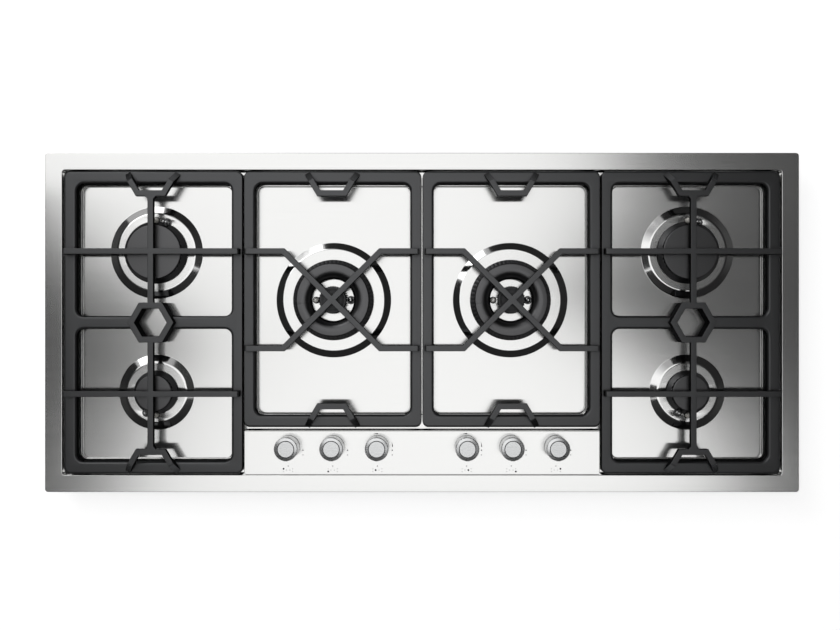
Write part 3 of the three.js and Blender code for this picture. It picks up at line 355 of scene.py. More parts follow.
# silicone rubber, moulded: dark and matt
mouldedRubber = grainMaterial("mouldedRubber", {
    "grain": (1.5, 1.5, 1.5), "dark": "1c1c1d", "light": "272728",
    "roughness": (0.6, 0.7), "depth": 0.05})
# polyamide housing, moulded: light grey with a spark-eroded texture
mouldedPolyamide = grainMaterial("mouldedPolyamide", {
    "grain": (0.8, 0.8, 0.8), "dark": "cfcec8", "light": "dcdbd6",
    "roughness": (0.5, 0.6), "depth": 0.04})
# screen-printed ink: flat dark grey
printedInk = grainMaterial("screenPrintedInk", {
    "grain": (0.6, 0.6, 0.6), "dark": "2b2b2d", "light": "343436",
    "roughness": (0.55, 0.65), "depth": 0.01})
# the same ink where it is thin: mid grey, so that the marks stay faint
faintInk = grainMaterial("worndownPrintedInk", {
    "grain": (0.6, 0.6, 0.6), "dark": "8b8b8c", "light": "999a9b",
    "roughness": (0.5, 0.6), "depth": 0.01})
# dark grey painted into the knobs' grooves as painted shade, where the V's walls would shade the groove
grooveShadePaint = grainMaterial("paintedGrooveShade", {
    "grain": (0.8, 0.8, 0.8), "dark": "4e4e50", "light": "5c5c5e",
    "roughness": (0.45, 0.55), "depth": 0.01})
print("stage: materials made")


# the pan, pressed from one steel sheet

pan = {
    "lip": 4,            # turned-down edge
    "outerCorner": 5,
    "rimEdge": 0.8,      # rounding of the rim's outer edge
    "border": 27.5,      # rim's flat width
    "topBend": 1.2,      # bend from the rim into the recess
    "bottomBend": 2.0,   # bend from the recess wall into the ledge
    "recessCorner": 4.5,
    "ledgeDrop": 19,
    "floorDrop": 22,
    "stepInset": 2.5,
    "stepCorner": 9.5,
    "stepBend": 1.0,
    "platformRise": 4.5,
    "sheet": 1.2,
    "shelfGap": 0.5,     # between the control panel and the pan
    "frontUnderRail": 1.7,   # middle floor's front edge, under the rail
    "railWall": 19.5,    # pan support's rail, with its fillets, along a recess wall
    "railNeighbour": 17.5,
    "shelfDrop": 0.3,    # shelf below the control panel's underside
    "shelfCorner": 2.5,
    "knobHole": 6,
    "electrodeHole": 4.9,
    "thermocoupleHole": 4.7,
    "throatGap": 0.3,
}
rings = {
    "rapid": {"outer": 74.3, "inner": 60.5, "throat": 19, "steps": 128},
    "semi": {"outer": 60.8, "inner": 46.4, "throat": 13, "steps": 112},
    "wok": {"outer": 92.3, "inner": 80, "throat": 15, "steps": 160},
}
burnerNames = ["rapid_left", "semi_left", "wok_left", "wok_right", "semi_right", "rapid_right"]
knobMiddles = [middleOf(f"knob_{number}") for number in range(1, 7)]


def kindOf(name):
    return name.split("_")[0]


def burnerMiddle(name):
    cap = "inner_cap" if kindOf(name) == "wok" else "cap"
    return middleOf(f"{name}_{cap}")[:2]


def quarter(radius, steps=5):
    # a quarter circle as (run, rise), from level to upright
    turn = np.linspace(0, np.pi / 2, steps + 1)
    return radius * np.column_stack((np.sin(turn), 1 - np.cos(turn)))


def ringSlope(ring, floor, platform):
    # From the floor up to the platform: the slope sets in over the first hundredths of the width, stays
    # even, and dies away over the last quarter, each time in proportion to the distance.
    start, end = 0.04, 0.25
    share = np.concatenate((np.linspace(0, start, 3), 1 - np.linspace(end, 0, 6)))
    even = 1 / (1 - start / 2 - end / 2)
    rise = even * (share - start / 2)
    rise = np.where(share < start, even * share ** 2 / (2 * start), rise)
    rise = np.where(share > 1 - end, 1 - even * (1 - share) ** 2 / (2 * end), rise)
    radius = ring["outer"] + share * (ring["inner"] - ring["outer"])
    return np.column_stack((radius, floor + rise * (platform - floor)))


def makePan():
    low, high = cornersOf("hob_pan")
    top = high[2]
    ledge, floor = top - pan["ledgeDrop"], top - pan["floorDrop"]
    platform = floor + pan["platformRise"]
    panelLow, panelHigh = cornersOf("control_panel")
    recessX, recessY = high[0] - pan["border"], high[1] - pan["border"]
    shelfX, shelfBack = panelHigh[0] + pan["shelfGap"], panelHigh[1] + pan["shelfGap"]
    shelf = panelLow[2] - pan["shelfDrop"]
    corner = pan["recessCorner"]

    # rim: outer edge, flat, and the bend into the recess
    edge = quarter(pan["rimEdge"], 4)
    outer = boxOutline(low[0], high[0], low[1], high[1], pan["outerCorner"])
    rounded = np.column_stack((-edge[:, 1], top - pan["rimEdge"] + edge[:, 0]))
    parts = [carried(outer, np.vstack(([0, top - pan["lip"]], rounded)))]
    sides = [(-recessX, -recessY), (-shelfX - corner, -recessY), (shelfX + corner, -recessY),
             (recessX, -recessY), (recessX, recessY), (-recessX, recessY)]
    whole = softOutline(sides, [corner, 0, 0, corner, corner, corner])
    bend = quarter(pan["topBend"])
    down = np.column_stack((pan["topBend"] - bend[:, 0], top - bend[:, 1]))
    parts.append(carried(whole, np.vstack((down, [0, shelf]))))
    parts.append(filled([offsetBy(outer, -pan["rimEdge"]), offsetBy(whole, pan["topBend"])], top))

    # recess in a U round the control panel's shelf
    uShape = [(-recessX, -recessY), (-shelfX, -recessY), (-shelfX, shelfBack), (shelfX, shelfBack),
              (shelfX, -recessY), (recessX, -recessY), (recessX, recessY), (-recessX, recessY)]
    inner = pan["shelfCorner"]
    recess = softOutline(uShape, [corner, corner, inner, inner, corner, corner, corner, corner])
    bend = quarter(pan["bottomBend"])
    foot = np.column_stack((-bend[:, 1], ledge + pan["bottomBend"] - bend[:, 0]))
    parts.append(carried(recess, np.vstack(([0, shelf], foot))))
    inShelf = (np.abs(recess[0][:, 0]) <= shelfX + corner + 1e-6) & (recess[0][:, 1] <= shelfBack + 1e-6)
    knobHoles = [circleOutline(x, y, pan["knobHole"], 24)[0] for x, y, _ in knobMiddles]
    parts.append(filled([recess[0][inShelf], *knobHoles], shelf))

    # ledge, wells with a step round each, and floors
    grateLow, grateHigh = cornersOf("grate_right")
    centreLow, centreHigh = cornersOf("grate_centre_right")
    inset = pan["stepInset"]
    sideWell = (grateLow[0] + pan["railNeighbour"] + inset, grateHigh[0] - pan["railWall"] - inset,
                grateLow[1] + pan["railWall"] + inset, grateHigh[1] - pan["railWall"] - inset)
    centreWell = (-centreHigh[0] + pan["railNeighbour"] + inset, centreHigh[0] - pan["railNeighbour"] - inset,
                  centreLow[1] + pan["railWall"] - pan["frontUnderRail"], sideWell[3])
    wells = [(-sideWell[1], -sideWell[0], *sideWell[2:]), centreWell, sideWell]
    stepOutlines = [boxOutline(*well, pan["stepCorner"]) for well in wells]
    bend = quarter(pan["stepBend"])
    step = np.vstack((
        np.column_stack((pan["stepBend"] - bend[:, 0], ledge - bend[:, 1])),
        np.column_stack((-bend[:, 1], floor + pan["stepBend"] - bend[:, 0])),
    ))
    parts += [carried(outline, step) for outline in stepOutlines]
    parts.append(filled([offsetBy(recess, -pan["bottomBend"]),
                         *[offsetBy(outline, pan["stepBend"]) for outline in stepOutlines]], ledge))
    for number, outline in enumerate(stepOutlines):
        inside = []
        for name in burnerNames:
            place = burnerMiddle(name)
            left, right = wells[number][:2]
            if left < place[0] < right:
                ring = rings[kindOf(name)]
                inside.append(circleOutline(*place, ring["outer"], ring["steps"])[0])
        parts.append(filled([offsetBy(outline, -pan["stepBend"]), *inside], floor))

    # polished rings, eased at both ends, and the flat platforms with their holes
    for name in burnerNames:
        ring = rings[kindOf(name)]
        place = burnerMiddle(name)
        slope = ringSlope(ring, floor, platform)
        parts.append((*turned(slope[:, :1], slope[:, 1:], ring["steps"], (*place, 0)), 1))
        holes = [circleOutline(*place, ring["throat"] + pan["throatGap"], 48)[0]]
        for part in ("electrode", "thermocouple"):
            holes.append(circleOutline(*middleOf(f"{name}_{part}")[:2], pan[part + "Hole"], 24)[0])
        parts.append(filled([circleOutline(*place, ring["inner"], ring["steps"])[0], *holes], platform))
    makePiece("pressedPan", parts, [brushedSteel, buffedSteel], "cooktop", ["hob_pan"],
              smoothAngle=30, sheet=pan["sheet"])
    return top


trimTop = makePan()
print("stage: pan made")


# the control panel and its printed marks

panel = {"corner": 2.2, "edge": 0.7, "hole": 6}


def makePanel():
    low, high = cornersOf("control_panel")
    outline = boxOutline(low[0], high[0], low[1], high[1], panel["corner"])
    holes = [circleOutline(x, y, panel["hole"], 32) for x, y, _ in knobMiddles]
    makePiece("controlPanelPlate", plate(outline, low[2], high[2], panel["edge"], holes), [brushedSteel],
              "cooktop", ["control_panel"], smoothAngle=30)


marks = {
    "thick": 0.06,
    "sunk": 0.2,
    "columns": (-7.2, -2.7, 2.7, 7.2),   # from the knob's middle, left to right as the burners stand
    "rows": (-34.8, -39.1, -36.8),       # rear, front, wok
    "dot": 1.5,
    "faintDot": 0.6,
    "offMark": (0, -30.4, 0.9),          # from the knob's middle, and radius
    "flames": ((23.6, -5.2, 1.1), (23.6, -12.7, 0.8)),
    "arcs": ((24, 18, 0.5), (21.4, 107, 88)),   # radius, and the angles of the thin and the thick end
    "arcHalf": (0.15, 0.8),
}


def disc(x, y, radius, kind):
    low, high = trimTop - marks["sunk"], trimTop + marks["thick"]
    return (*turned([[0], [radius], [radius], [0]], [[low], [low], [high], [high]], 16, (x, y, 0)), kind)


def makeMarks():
    left, nearLeft, nearRight, right = marks["columns"]
    rear, front, wok = marks["rows"]
    layout = [(left, rear), (left, front), (nearLeft, wok), (nearRight, wok), (right, front), (right, rear)]
    parts = []
    for number, (x, y, _) in enumerate(knobMiddles):
        for place, (across, along) in enumerate(layout):
            own = place == number
            parts.append(disc(x + across, y + along, marks["dot" if own else "faintDot"], 0 if own else 1))
        for across, along, radius in (marks["offMark"], *marks["flames"]):
            parts.append(disc(x + across, y + along, radius, 1))
        if number in (2, 3):
            for radius, thin, thick in marks["arcs"]:
                angle = np.radians(np.linspace(thin, thick, 9))[:, None]
                run = np.hstack((np.cos(angle), np.sin(angle)))
                half = np.linspace(*marks["arcHalf"], 9)[:, None]
                loop = np.vstack((run * (radius - half), run[::-1] * (radius + half[::-1])))
                parts += plate(softOutline(loop + (x, y), 0), trimTop - marks["sunk"], trimTop + marks["thick"])
    makePiece("printedMarks", parts, [printedInk, faintInk], "cooktop")


makePanel()
makeMarks()
print("stage: control panel made")


# the pan supports

support = {
    "railDrop": 20,          # rail top below the bar tops
    "railDepth": 13,
    "innerFillet": 4,
    "wallFillet": 3,
    "neighbourFillet": 1,
    "outerCorner": 9,
    "windowCorner": 11.5,
    "crossRail": 20.5,       # with its fillets
    "barDepth": 12,
    "barWidth": 9,
    "barEdge": 0.6,
    "barInset": 3,
    "endRound": 3.4,
    "leg": 14,
    "haunch": 6,
    "hexagonAcross": 63,
    "hexagonBand": 9.3,
    "hexagonNeck": 26,
    "handleCrest": 36.75,
    "handleCrestHalf": 20.5,
    "handleFootHalf": 40,
    "handleFoot": 3.5,
    "handleSlope": 12.3,     # run of a leg's sloped end
    "panelHandleShift": 2.2,
    "sunk": 0.6,             # how far legs and handles start inside a rail
    "legBend": (2, 2.4),     # from a leg's face to the underside: run, and drop below the bar
    "underEdge": 0.8,
    "handleUnderEdge": 1.2,
    "hexagonRound": 1.0,
    "rubberTip": 3,
    "footRadius": (5, 6.5),
    "footInset": 6.25,
    "sideFootInset": 17,     # from a side support's front and rear edges
    "centreFootInset": 10,
}


def railFrame(box, fillets, holes, low, high):
    # The outer edge is a quarter ellipse whose width differs from side to side, the inner ones are
    # quarter circles; both are stacks of rounded rectangles.
    left, right, front, back = box
    parts = []
    turn = np.linspace(0, np.pi / 2, 6)
    stack = []
    for angle in turn:
        inset = 1 - np.cos(angle)
        loop = boxOutline(left + fillets["left"] * inset, right - fillets["right"] * inset,
                          front + fillets["front"] * inset, back - fillets["back"] * inset,
                          support["outerCorner"])[0]
        stack.append((loop, high - support["wallFillet"] * (1 - np.sin(angle))))
    rows = [(stack[0][0], low), *stack]
    grid = np.concatenate([np.column_stack((loop, np.full(len(loop), height))) for loop, height in rows])
    parts.append((grid, gridFaces(len(rows), len(stack[0][0]), False, True)))
    fillet = support["innerFillet"]
    profile = np.column_stack((fillet * (1 - np.cos(turn)), high - fillet * (1 - np.sin(turn))))
    parts += [carried(hole, np.vstack(([0, low], profile))) for hole in holes]
    parts.append(filled([stack[-1][0], *[offsetBy(hole, fillet) for hole in holes]], high))
    parts.append(filled([stack[0][0], *[hole[0] for hole in holes]], low, up=False))
    return parts


def endTop(top):
    # the top falls as a quarter circle over the last millimetres
    reach = support["endRound"]
    away = reach * (1 - np.cos(np.linspace(0, np.pi / 2, 5)))
    return [(run, top - reach + np.sqrt(max(reach ** 2 - (reach - run) ** 2, 0))) for run in away]


def handle(top, railTop, railWidth):
    # A bar that climbs from the rail's top to a level crest and down again, on a half hexagon's route; it
    # is drawn for an edge at y = 0, with the pan support at y > 0.
    crest, foot = support["handleCrest"], support["handleFoot"]
    route = [(-support["handleFootHalf"], foot), (-support["handleCrestHalf"], crest),
             (support["handleCrestHalf"], crest), (support["handleFootHalf"], foot)]
    rise = (crest - foot) / np.hypot(crest - foot, support["handleFootHalf"] - support["handleCrestHalf"])
    under = top - support["barDepth"]
    section = sectionOf(support["barWidth"] / 2, support["barEdge"], support["handleUnderEdge"])
    run = support["handleSlope"] / rise
    sunk = railTop - support["sunk"]
    topRise = [(0, railTop + 0.5), (run - 1, top - 2), (run - 0.2, top - 0.8), (run + 0.8, top - 0.1),
               (run + 1.5, top)]
    underRise = [(0, sunk), ((railWidth - foot) / rise, sunk), ((railWidth + 3 - foot) / rise, under - 1.6),
                 ((railWidth + support["haunch"] - foot) / rise, under)]
    return barAlong(route, section, topRise, underRise)


def crestWeb(top):
    # a flat trapezium that fills both corners between a long bar and the crest of its handle
    half, reach = support["barWidth"] / 2, 4.5
    outline = softOutline([(-half - reach, -1), (half + reach, -1), (half, reach), (-half, reach)], 0)
    return plate(outline, top - support["barDepth"] + 0.3, top - 0.04, 0.4)


def feet(places, low, high):
    # a short cone under the rail at each place, with a rubber pad under it
    narrow, wide = support["footRadius"]
    tip = low + support["rubberTip"]
    parts = []
    for x, y in places:
        stud = [(0, tip), (narrow, tip), (wide, high + support["sunk"]), (0, high + support["sunk"])]
        parts.append(turnedProfile(stud, [0, 0.4, 0, 0], 24, (x, y, 0)))
        sole = [(0, low), (narrow - 0.4, low), (narrow - 0.2, tip + 0.3), (0, tip + 0.3)]
        pad = turnedProfile(sole, [0, 0.8, 0, 0], 24, (x, y, 0))
        parts.append((*pad, 1))
    return parts


def standingUnder(railTop, under):
    # the underside of a bar that stands on the rails: a leg, a bend, a haunch
    run, drop = support["legBend"]
    sunk, leg = railTop - support["sunk"], support["leg"]
    return [(0, sunk), (leg, sunk), (leg + run, under - drop), (leg + support["haunch"], under)]


def makeSideGrate(hand):
    node = f"grate_{hand}"
    low, high = cornersOf(node)
    x, y, _ = (low + high) / 2
    top = high[2]
    railTop = top - support["railDrop"]
    railLow = railTop - support["railDepth"]
    outerFillet, innerFillet = support["wallFillet"], support["neighbourFillet"]
    wall, neighbour = pan["railWall"], pan["railNeighbour"]
    leftSide, rightSide = (wall, neighbour) if hand == "left" else (neighbour, wall)
    fillets = {"left": outerFillet if hand == "left" else innerFillet,
               "right": innerFillet if hand == "left" else outerFillet,
               "front": outerFillet, "back": outerFillet}
    cross = support["crossRail"] / 2
    # both windows in one outline, joined where the hexagon ring is open; its band hides the joint's ends
    left, right, front, back = low[0] + leftSide, high[0] - rightSide, low[1] + wall, high[1] - wall
    neck = support["hexagonNeck"]
    corners = [(left, front), (right, front), (right, -cross), (x + neck, -cross), (x + neck, cross),
               (right, cross), (right, back), (left, back), (left, cross), (x - neck, cross),
               (x - neck, -cross), (left, -cross)]
    window = softOutline(corners, [0 if abs(a - x) <= neck else support["windowCorner"] for a, _ in corners])
    parts = railFrame((low[0], high[0], low[1], high[1]), fillets, [window], railLow, railTop)

    half = support["barWidth"] / 2
    under = top - support["barDepth"]
    section = sectionOf(half, support["barEdge"], support["underEdge"])
    reach = (high[0] - low[0]) / 2 - support["barInset"]
    standing = standingUnder(railTop, under)
    for name in (f"rapid_{hand}", f"semi_{hand}"):
        across = burnerMiddle(name)[1]
        parts.append(barAlong([(x - reach, across), (x + reach, across)], section, endTop(top), standing))

    # long bars from the hexagon ring to the handles, just below the other tops where they cross
    start = support["hexagonAcross"] / 2 - support["hexagonBand"] / 2
    end = high[1] - support["handleCrest"]
    level = [(0, top - 0.03)]
    for turn in (0, 180):
        bar = barAlong([(0, start), (0, end)], section, level, [(0, under + 0.03)])
        web = [moved(part, 0, -high[1] + support["handleCrest"] + half) for part in crestWeb(top)]
        parts.append(moved(bar, x, 0, 0, turn + 180))
        parts += [moved(part, x, 0, 0, turn) for part in [*web, moved(handle(top, railTop, wall), 0, -high[1])]]

    # hexagon ring, as deep as rails and bars together
    wide = support["hexagonAcross"] / 2
    narrow, soft = wide - support["hexagonBand"], support["hexagonRound"]
    angle = np.radians(60 * np.arange(6))
    corner = np.column_stack((np.cos(angle), np.sin(angle))) / np.cos(np.pi / 6)
    outline, hole = softOutline(corner * wide, soft, 3), softOutline(corner * narrow, soft, 3)
    parts += [moved(part, x, y) for part in plate(outline, railLow + 0.05, top, support["barEdge"], [hole])]
    inset, end = support["footInset"], support["sideFootInset"]
    across = [low[0] + fillets["left"] + inset, high[0] - fillets["right"] - inset]
    parts += feet([(a, b) for a in across for b in (low[1] + end, 0, high[1] - end)], low[2], railLow)
    makePiece(f"castSupport_{hand}", parts, [castIron, mouldedRubber], f"pan_support_{hand}",
              [node])


def makeCentreGrate(hand):
    node = f"grate_centre_{hand}"
    low, high = cornersOf(node)
    x, y = burnerMiddle(f"wok_{hand}")
    top = high[2]
    railTop = top - support["railDrop"]
    railLow = railTop - support["railDepth"]
    outerFillet, innerFillet = support["wallFillet"], support["neighbourFillet"]
    wall, neighbour = pan["railWall"], pan["railNeighbour"]
    fillets = {"left": innerFillet, "right": innerFillet, "front": outerFillet, "back": outerFillet}
    window = boxOutline(low[0] + neighbour, high[0] - neighbour, low[1] + wall, high[1] - wall,
                        support["windowCorner"])
    parts = railFrame((low[0], high[0], low[1], high[1]), fillets, [window], railLow, railTop)

    # two bars that bend at 45 degrees; their level arms line up with the side pan supports' bars
    under = top - support["barDepth"]
    section = sectionOf(support["barWidth"] / 2, support["barEdge"], support["underEdge"])
    reach = (high[0] - low[0]) / 2 - support["barInset"]
    bendAt = burnerMiddle(f"rapid_{hand}")[1] - y
    standing = standingUnder(railTop, under)
    for side, drop in ((1, 0), (-1, 0.03)):
        route = [(-reach, side * bendAt), (-bendAt, side * bendAt),
                 (bendAt, -side * bendAt), (reach, -side * bendAt)]
        bar = barAlong(route, section, endTop(top - drop), standing)
        parts.append(moved(bar, x, y))
    shift = support["panelHandleShift"]
    parts.append(moved(handle(top, railTop, wall + shift), x, low[1] - shift))
    parts.append(moved(moved(handle(top, railTop, wall), 0, -high[1]), x, 0, 0, 180))
    side = -1 if hand == "left" else 1
    inset, end = innerFillet + support["footInset"], support["centreFootInset"]
    across = (high[0] if side > 0 else low[0]) - side * inset
    inward = (low[0] if side > 0 else high[0]) + side * inset
    places = [(a, b) for a in (across, inward) for b in (low[1] + end, high[1] - end)] + [(across, y)]
    parts += feet(places, low[2], railLow)
    makePiece(f"castSupport_centre_{hand}", parts, [castIron, mouldedRubber], f"pan_support_centre_{hand}",
              [node])


for hand in ("left", "right"):
    makeSideGrate(hand)
    makeCentreGrate(hand)
print("stage: pan supports made")


# the burners

burner = {
    "capGap": 0.3,        # between a spreader and its cap
    "wallInset": 1,       # spreader's wall inside the cap's rim
    "wallThick": 5,
    "bowlThick": 4,
    "skirtEdge": 2,       # slant at the skirt's lower edge: across,
    "skirtLow": 1.7,      # where it ends,
    "skirtHigh": 3.2,     # and where the skirt's top sets in
    "shoulder": 8,        # all above the spreader's underside
    "ribInset": 6.3,      # of the rib under a cap
    "ribThick": 2.5,
    "probeClear": {"electrode": 5.6, "thermocouple": 5.4},
}
discBurner = {
    "rapid": {"flat": 41.5, "rim": 2.5, "edge": 50, "throat": 16.5, "ports": 40},
    "semi": {"flat": 27, "rim": 2.5, "edge": 35, "throat": 10.5, "ports": 28},
}
discPort = {"width": 0.3, "depth": 3.2}     # width as a share of the ports' spacing
wokBurner = {
    "flat": 56,
    "rim": 2.5,
    "edge": 64.5,
    "hole": 33.5,
    "fallFrom": 5,        # level crown's edge inside the flat
    "fall": 8.4,          # from the crown to the opening
    "ports": 60,
    "portWidth": 0.36,
    "portDepth": 3,
    "portDrop": 0.9,
    "innerEdge": 22.3,
    "innerThroat": 12.5,
    "innerUnder": 5.7,    # inner cap's underside below its top
    "innerPorts": 20,
    "innerPortWidth": 0.4,
    "innerPortDepth": 2.5,
    "ribs": 36,
    "ribDepth": 0.9,
    "spokeHalf": 5,
    "spokeHeight": 5,
    "seamAt": 188,        # degrees
    "seamDepth": 0.45,
}


def makeDiscBurner(name):
    size = discBurner[kindOf(name)]
    x, y = burnerMiddle(name)
    capLow, capHigh = cornersOf(f"{name}_cap")
    spreadLow, spreadHigh = cornersOf(f"{name}_spreader")
    capUnder, capTop = spreadHigh[2] + burner["capGap"], capHigh[2]
    outer = size["flat"] + size["rim"]

    # cap: a faint crown, an eased rim, and a rib that sits inside the spreader
    rib = outer - burner["ribInset"]
    ribIn = rib - burner["ribThick"]
    corners = [(0, capUnder), (ribIn, capUnder), (ribIn, capLow[2]), (rib, capLow[2]), (rib, capUnder),
               (outer, capUnder), (outer, capTop - 0.35), (0, capTop)]
    profile = softOutline(corners, [0, 0, 0.5, 0.5, 0, 0.6, 2.2, 0], 6)[0]
    makePiece(f"enamelCap_{name}", [turned(profile[:, :1], profile[:, 1:], 96, (x, y, 0))], [blackEnamel],
              f"loose_{name}_cap", [f"{name}_cap"])

    # spreader: a bowl with a wide lower edge; narrow ports run down its wall
    wall, low, edge = outer - burner["wallInset"], spreadLow[2], size["edge"]
    top, shoulder = spreadHigh[2], spreadLow[2] + burner["shoulder"]
    inside, bowl, throat = wall - burner["wallThick"], low + burner["bowlThick"], size["throat"]
    steps = size["ports"] * 8
    profile = np.array([
        (throat, low), (edge - burner["skirtEdge"], low), (edge, low + burner["skirtLow"]),
        (edge, low + burner["skirtHigh"]), (wall + 0.9, shoulder - 0.6), (wall, shoulder),
        (wall, shoulder + 0.5), (wall, top - 0.4), (wall - 0.4, top), (inside, top), (inside, bowl),
        (throat, bowl)])
    radius = np.repeat(profile[:, :1], steps, 1)
    radius[6:8] -= discPort["depth"] * slots(size["ports"], discPort["width"], steps)
    # hollows round the electrode and the thermocouple
    angle = np.linspace(0, 2 * np.pi, steps, endpoint=False)
    for part, clear in burner["probeClear"].items():
        px, py = middleOf(f"{name}_{part}")[:2] - (x, y)
        far, at = np.hypot(px, py), np.arctan2(py, px)
        away = np.abs(far * np.sin(angle - at))
        near = (away < clear) & (np.cos(angle - at) > 0)
        bite = far * np.cos(angle - at) - np.sqrt(np.clip(clear ** 2 - away ** 2, 0, None))
        radius[1:5] = np.where(near, np.minimum(radius[1:5], np.maximum(bite, wall + 0.2)), radius[1:5])
    makePiece(f"flameSpreader_{name}", [turned(radius, profile[:, 1:], steps, (x, y, 0), ring=True)],
              [blackEnamel], "cooktop", [f"{name}_spreader"])


def makeWokBurner(name):
    size = wokBurner
    x, y = burnerMiddle(name)
    place = (x, y, 0)
    ringLow, ringHigh = cornersOf(f"{name}_ring_cap")
    innerLow, innerHigh = cornersOf(f"{name}_inner_cap")
    spreadLow, spreadHigh = cornersOf(f"{name}_spreader")
    top, flat, hole = ringHigh[2], size["flat"], size["hole"]
    outer, crown = flat + size["rim"], flat - size["fallFrom"]
    capUnder = spreadHigh[2] + burner["capGap"]

    # ring cap: a round outer edge, a crown, and a top that falls towards the opening; one seam line
    steps = 180
    # inside the level crown the top falls ever more steeply, as the distance to the power of 2.8
    share = np.linspace(0, 1, 15)[:, None]
    fall = np.hstack((crown - share * (crown - hole), top - size["fall"] * share ** 2.8))
    corners = [(hole, ringLow[2]), (hole + 8, ringLow[2]), (crown, capUnder), (outer, capUnder),
               (outer, top - 0.4), *fall]
    profile = softOutline(corners, [0.6, 1, 1, 0.5, 2.4] + [0] * len(fall), 6)[0]
    height = np.repeat(profile[:, 1:], steps, 1)
    angle = np.arange(steps) * 360 / steps
    upper = profile[:, 1] > top - 9
    height[np.ix_(upper, angle == size["seamAt"])] -= size["seamDepth"]
    makePiece(f"ringCap_{name}", [turned(profile[:, :1], height, steps, place, ring=True)], [blackEnamel],
              f"loose_{name}_ring_cap", [f"{name}_ring_cap"])

    # inner cap: a knurled rim round a shallow dish
    edge, cap = size["innerEdge"], innerHigh[2]
    steps = size["ribs"] * 4
    under, rib = cap - size["innerUnder"], edge - burner["ribInset"]
    profile = np.array([
        (0, innerLow[2]), (rib, innerLow[2]), (rib, under), (edge - 0.3, under), (edge, under + 0.6),
        (edge, cap - 1.6), (edge - 0.5, cap - 0.6), (edge - 1.6, cap), (edge - 4.6, cap - 0.1),
        (edge - 5.4, cap - 0.7), (edge - 9, cap - 0.9), (0, cap - 0.7)])
    radius = np.repeat(profile[:, :1], steps, 1)
    radius[3:8] -= size["ribDepth"] * np.tile([0, 1, 1, 0], size["ribs"])
    makePiece(f"innerCap_{name}", [turned(radius, profile[:, 1:], steps, place)], [dulledEnamel],
              f"loose_{name}_inner_cap", [f"{name}_inner_cap"])

    # spreader: outer ring with ports through its shoulder and wall, inner bowl, four spokes
    low, spreadTop = spreadLow[2], spreadHigh[2]
    wall, shoulder = outer - burner["wallInset"], low + burner["shoulder"]
    inside, bowl = wall - burner["wallThick"], low + burner["bowlThick"]
    skirt, ringIn = size["edge"], hole + 2.5
    ringOut, ringTop = ringIn + burner["wallThick"], ringLow[2] - burner["capGap"]
    steps = size["ports"] * 6
    profile = np.array([
        (ringIn, low), (skirt - burner["skirtEdge"], low), (skirt, low + burner["skirtLow"]),
        (skirt, low + burner["skirtHigh"]), (wall + 2.6, shoulder - 1.9), (wall + 0.3, shoulder - 0.3),
        (wall, shoulder + 0.4), (wall, spreadTop - 0.4), (wall - 0.4, spreadTop), (inside, spreadTop),
        (inside, bowl), (ringOut, bowl), (ringOut, ringTop), (ringIn, ringTop)])
    radius = np.repeat(profile[:, :1], steps, 1)
    height = np.repeat(profile[:, 1:], steps, 1)
    slot = slots(size["ports"], size["portWidth"], steps)
    radius[6:8] -= size["portDepth"] * slot
    height[4:6] -= size["portDrop"] * slot
    parts = [turned(radius, height, steps, place, ring=True)]
    wall, throat = edge - burner["wallInset"], size["innerThroat"]
    inside, innerTop = wall - burner["wallThick"], innerLow[2] + 2 - burner["capGap"]
    steps = size["innerPorts"] * 8
    profile = np.array([
        (throat, low), (wall - 0.6, low), (wall, low + 0.6), (wall, low + 5.5), (wall, innerTop - 0.3),
        (wall - 0.3, innerTop), (inside, innerTop), (inside, bowl), (throat, bowl)])
    radius = np.repeat(profile[:, :1], steps, 1)
    radius[3:5] -= size["innerPortDepth"] * slots(size["innerPorts"], size["innerPortWidth"], steps)
    parts.append(turned(radius, profile[:, 1:], steps, place, ring=True))
    for turn in (45, 135, 225, 315):
        spoke = barAlong([(wall - 2.5, 0), (ringIn + 2.5, 0)], sectionOf(size["spokeHalf"], 1.2, 0.6),
                         [(0, low + size["spokeHeight"])], [(0, low + 0.02)])
        parts.append(moved(spoke, x, y, 0, turn))
    makePiece(f"flameSpreader_{name}", parts, [blackEnamel], "cooktop", [f"{name}_spreader"])


probe = {
    "ceramic": (4.2, 3.2),        # radius below and above its shoulder
    "ceramicShoulder": (5, 6, 9),     # its rim, its foot and the ceramic's end, above the platform
    "wire": 1.2,
    "collar": (4.9, 5.6, 0.8),    # inside, outside, top above the platform
    "sheath": (4, 2.2),
    "sheathShoulder": (5, 5.8),
    "washer": (4.75, 6.8, 0.9),
    "lift": 0.05,                 # rings stand clear of the platform
}


def flatRing(size, platform, steps, place):
    # a low ring whose top edges are eased, turned about the upright axis at its place
    inside, outside, rise = size
    low, high = platform + probe["lift"], platform + rise
    corners = [(inside, low), (outside, low), (outside, high), (inside, high)]
    return turnedProfile(corners, [0, 0, 0.3, 0.3], steps, place, ring=True)


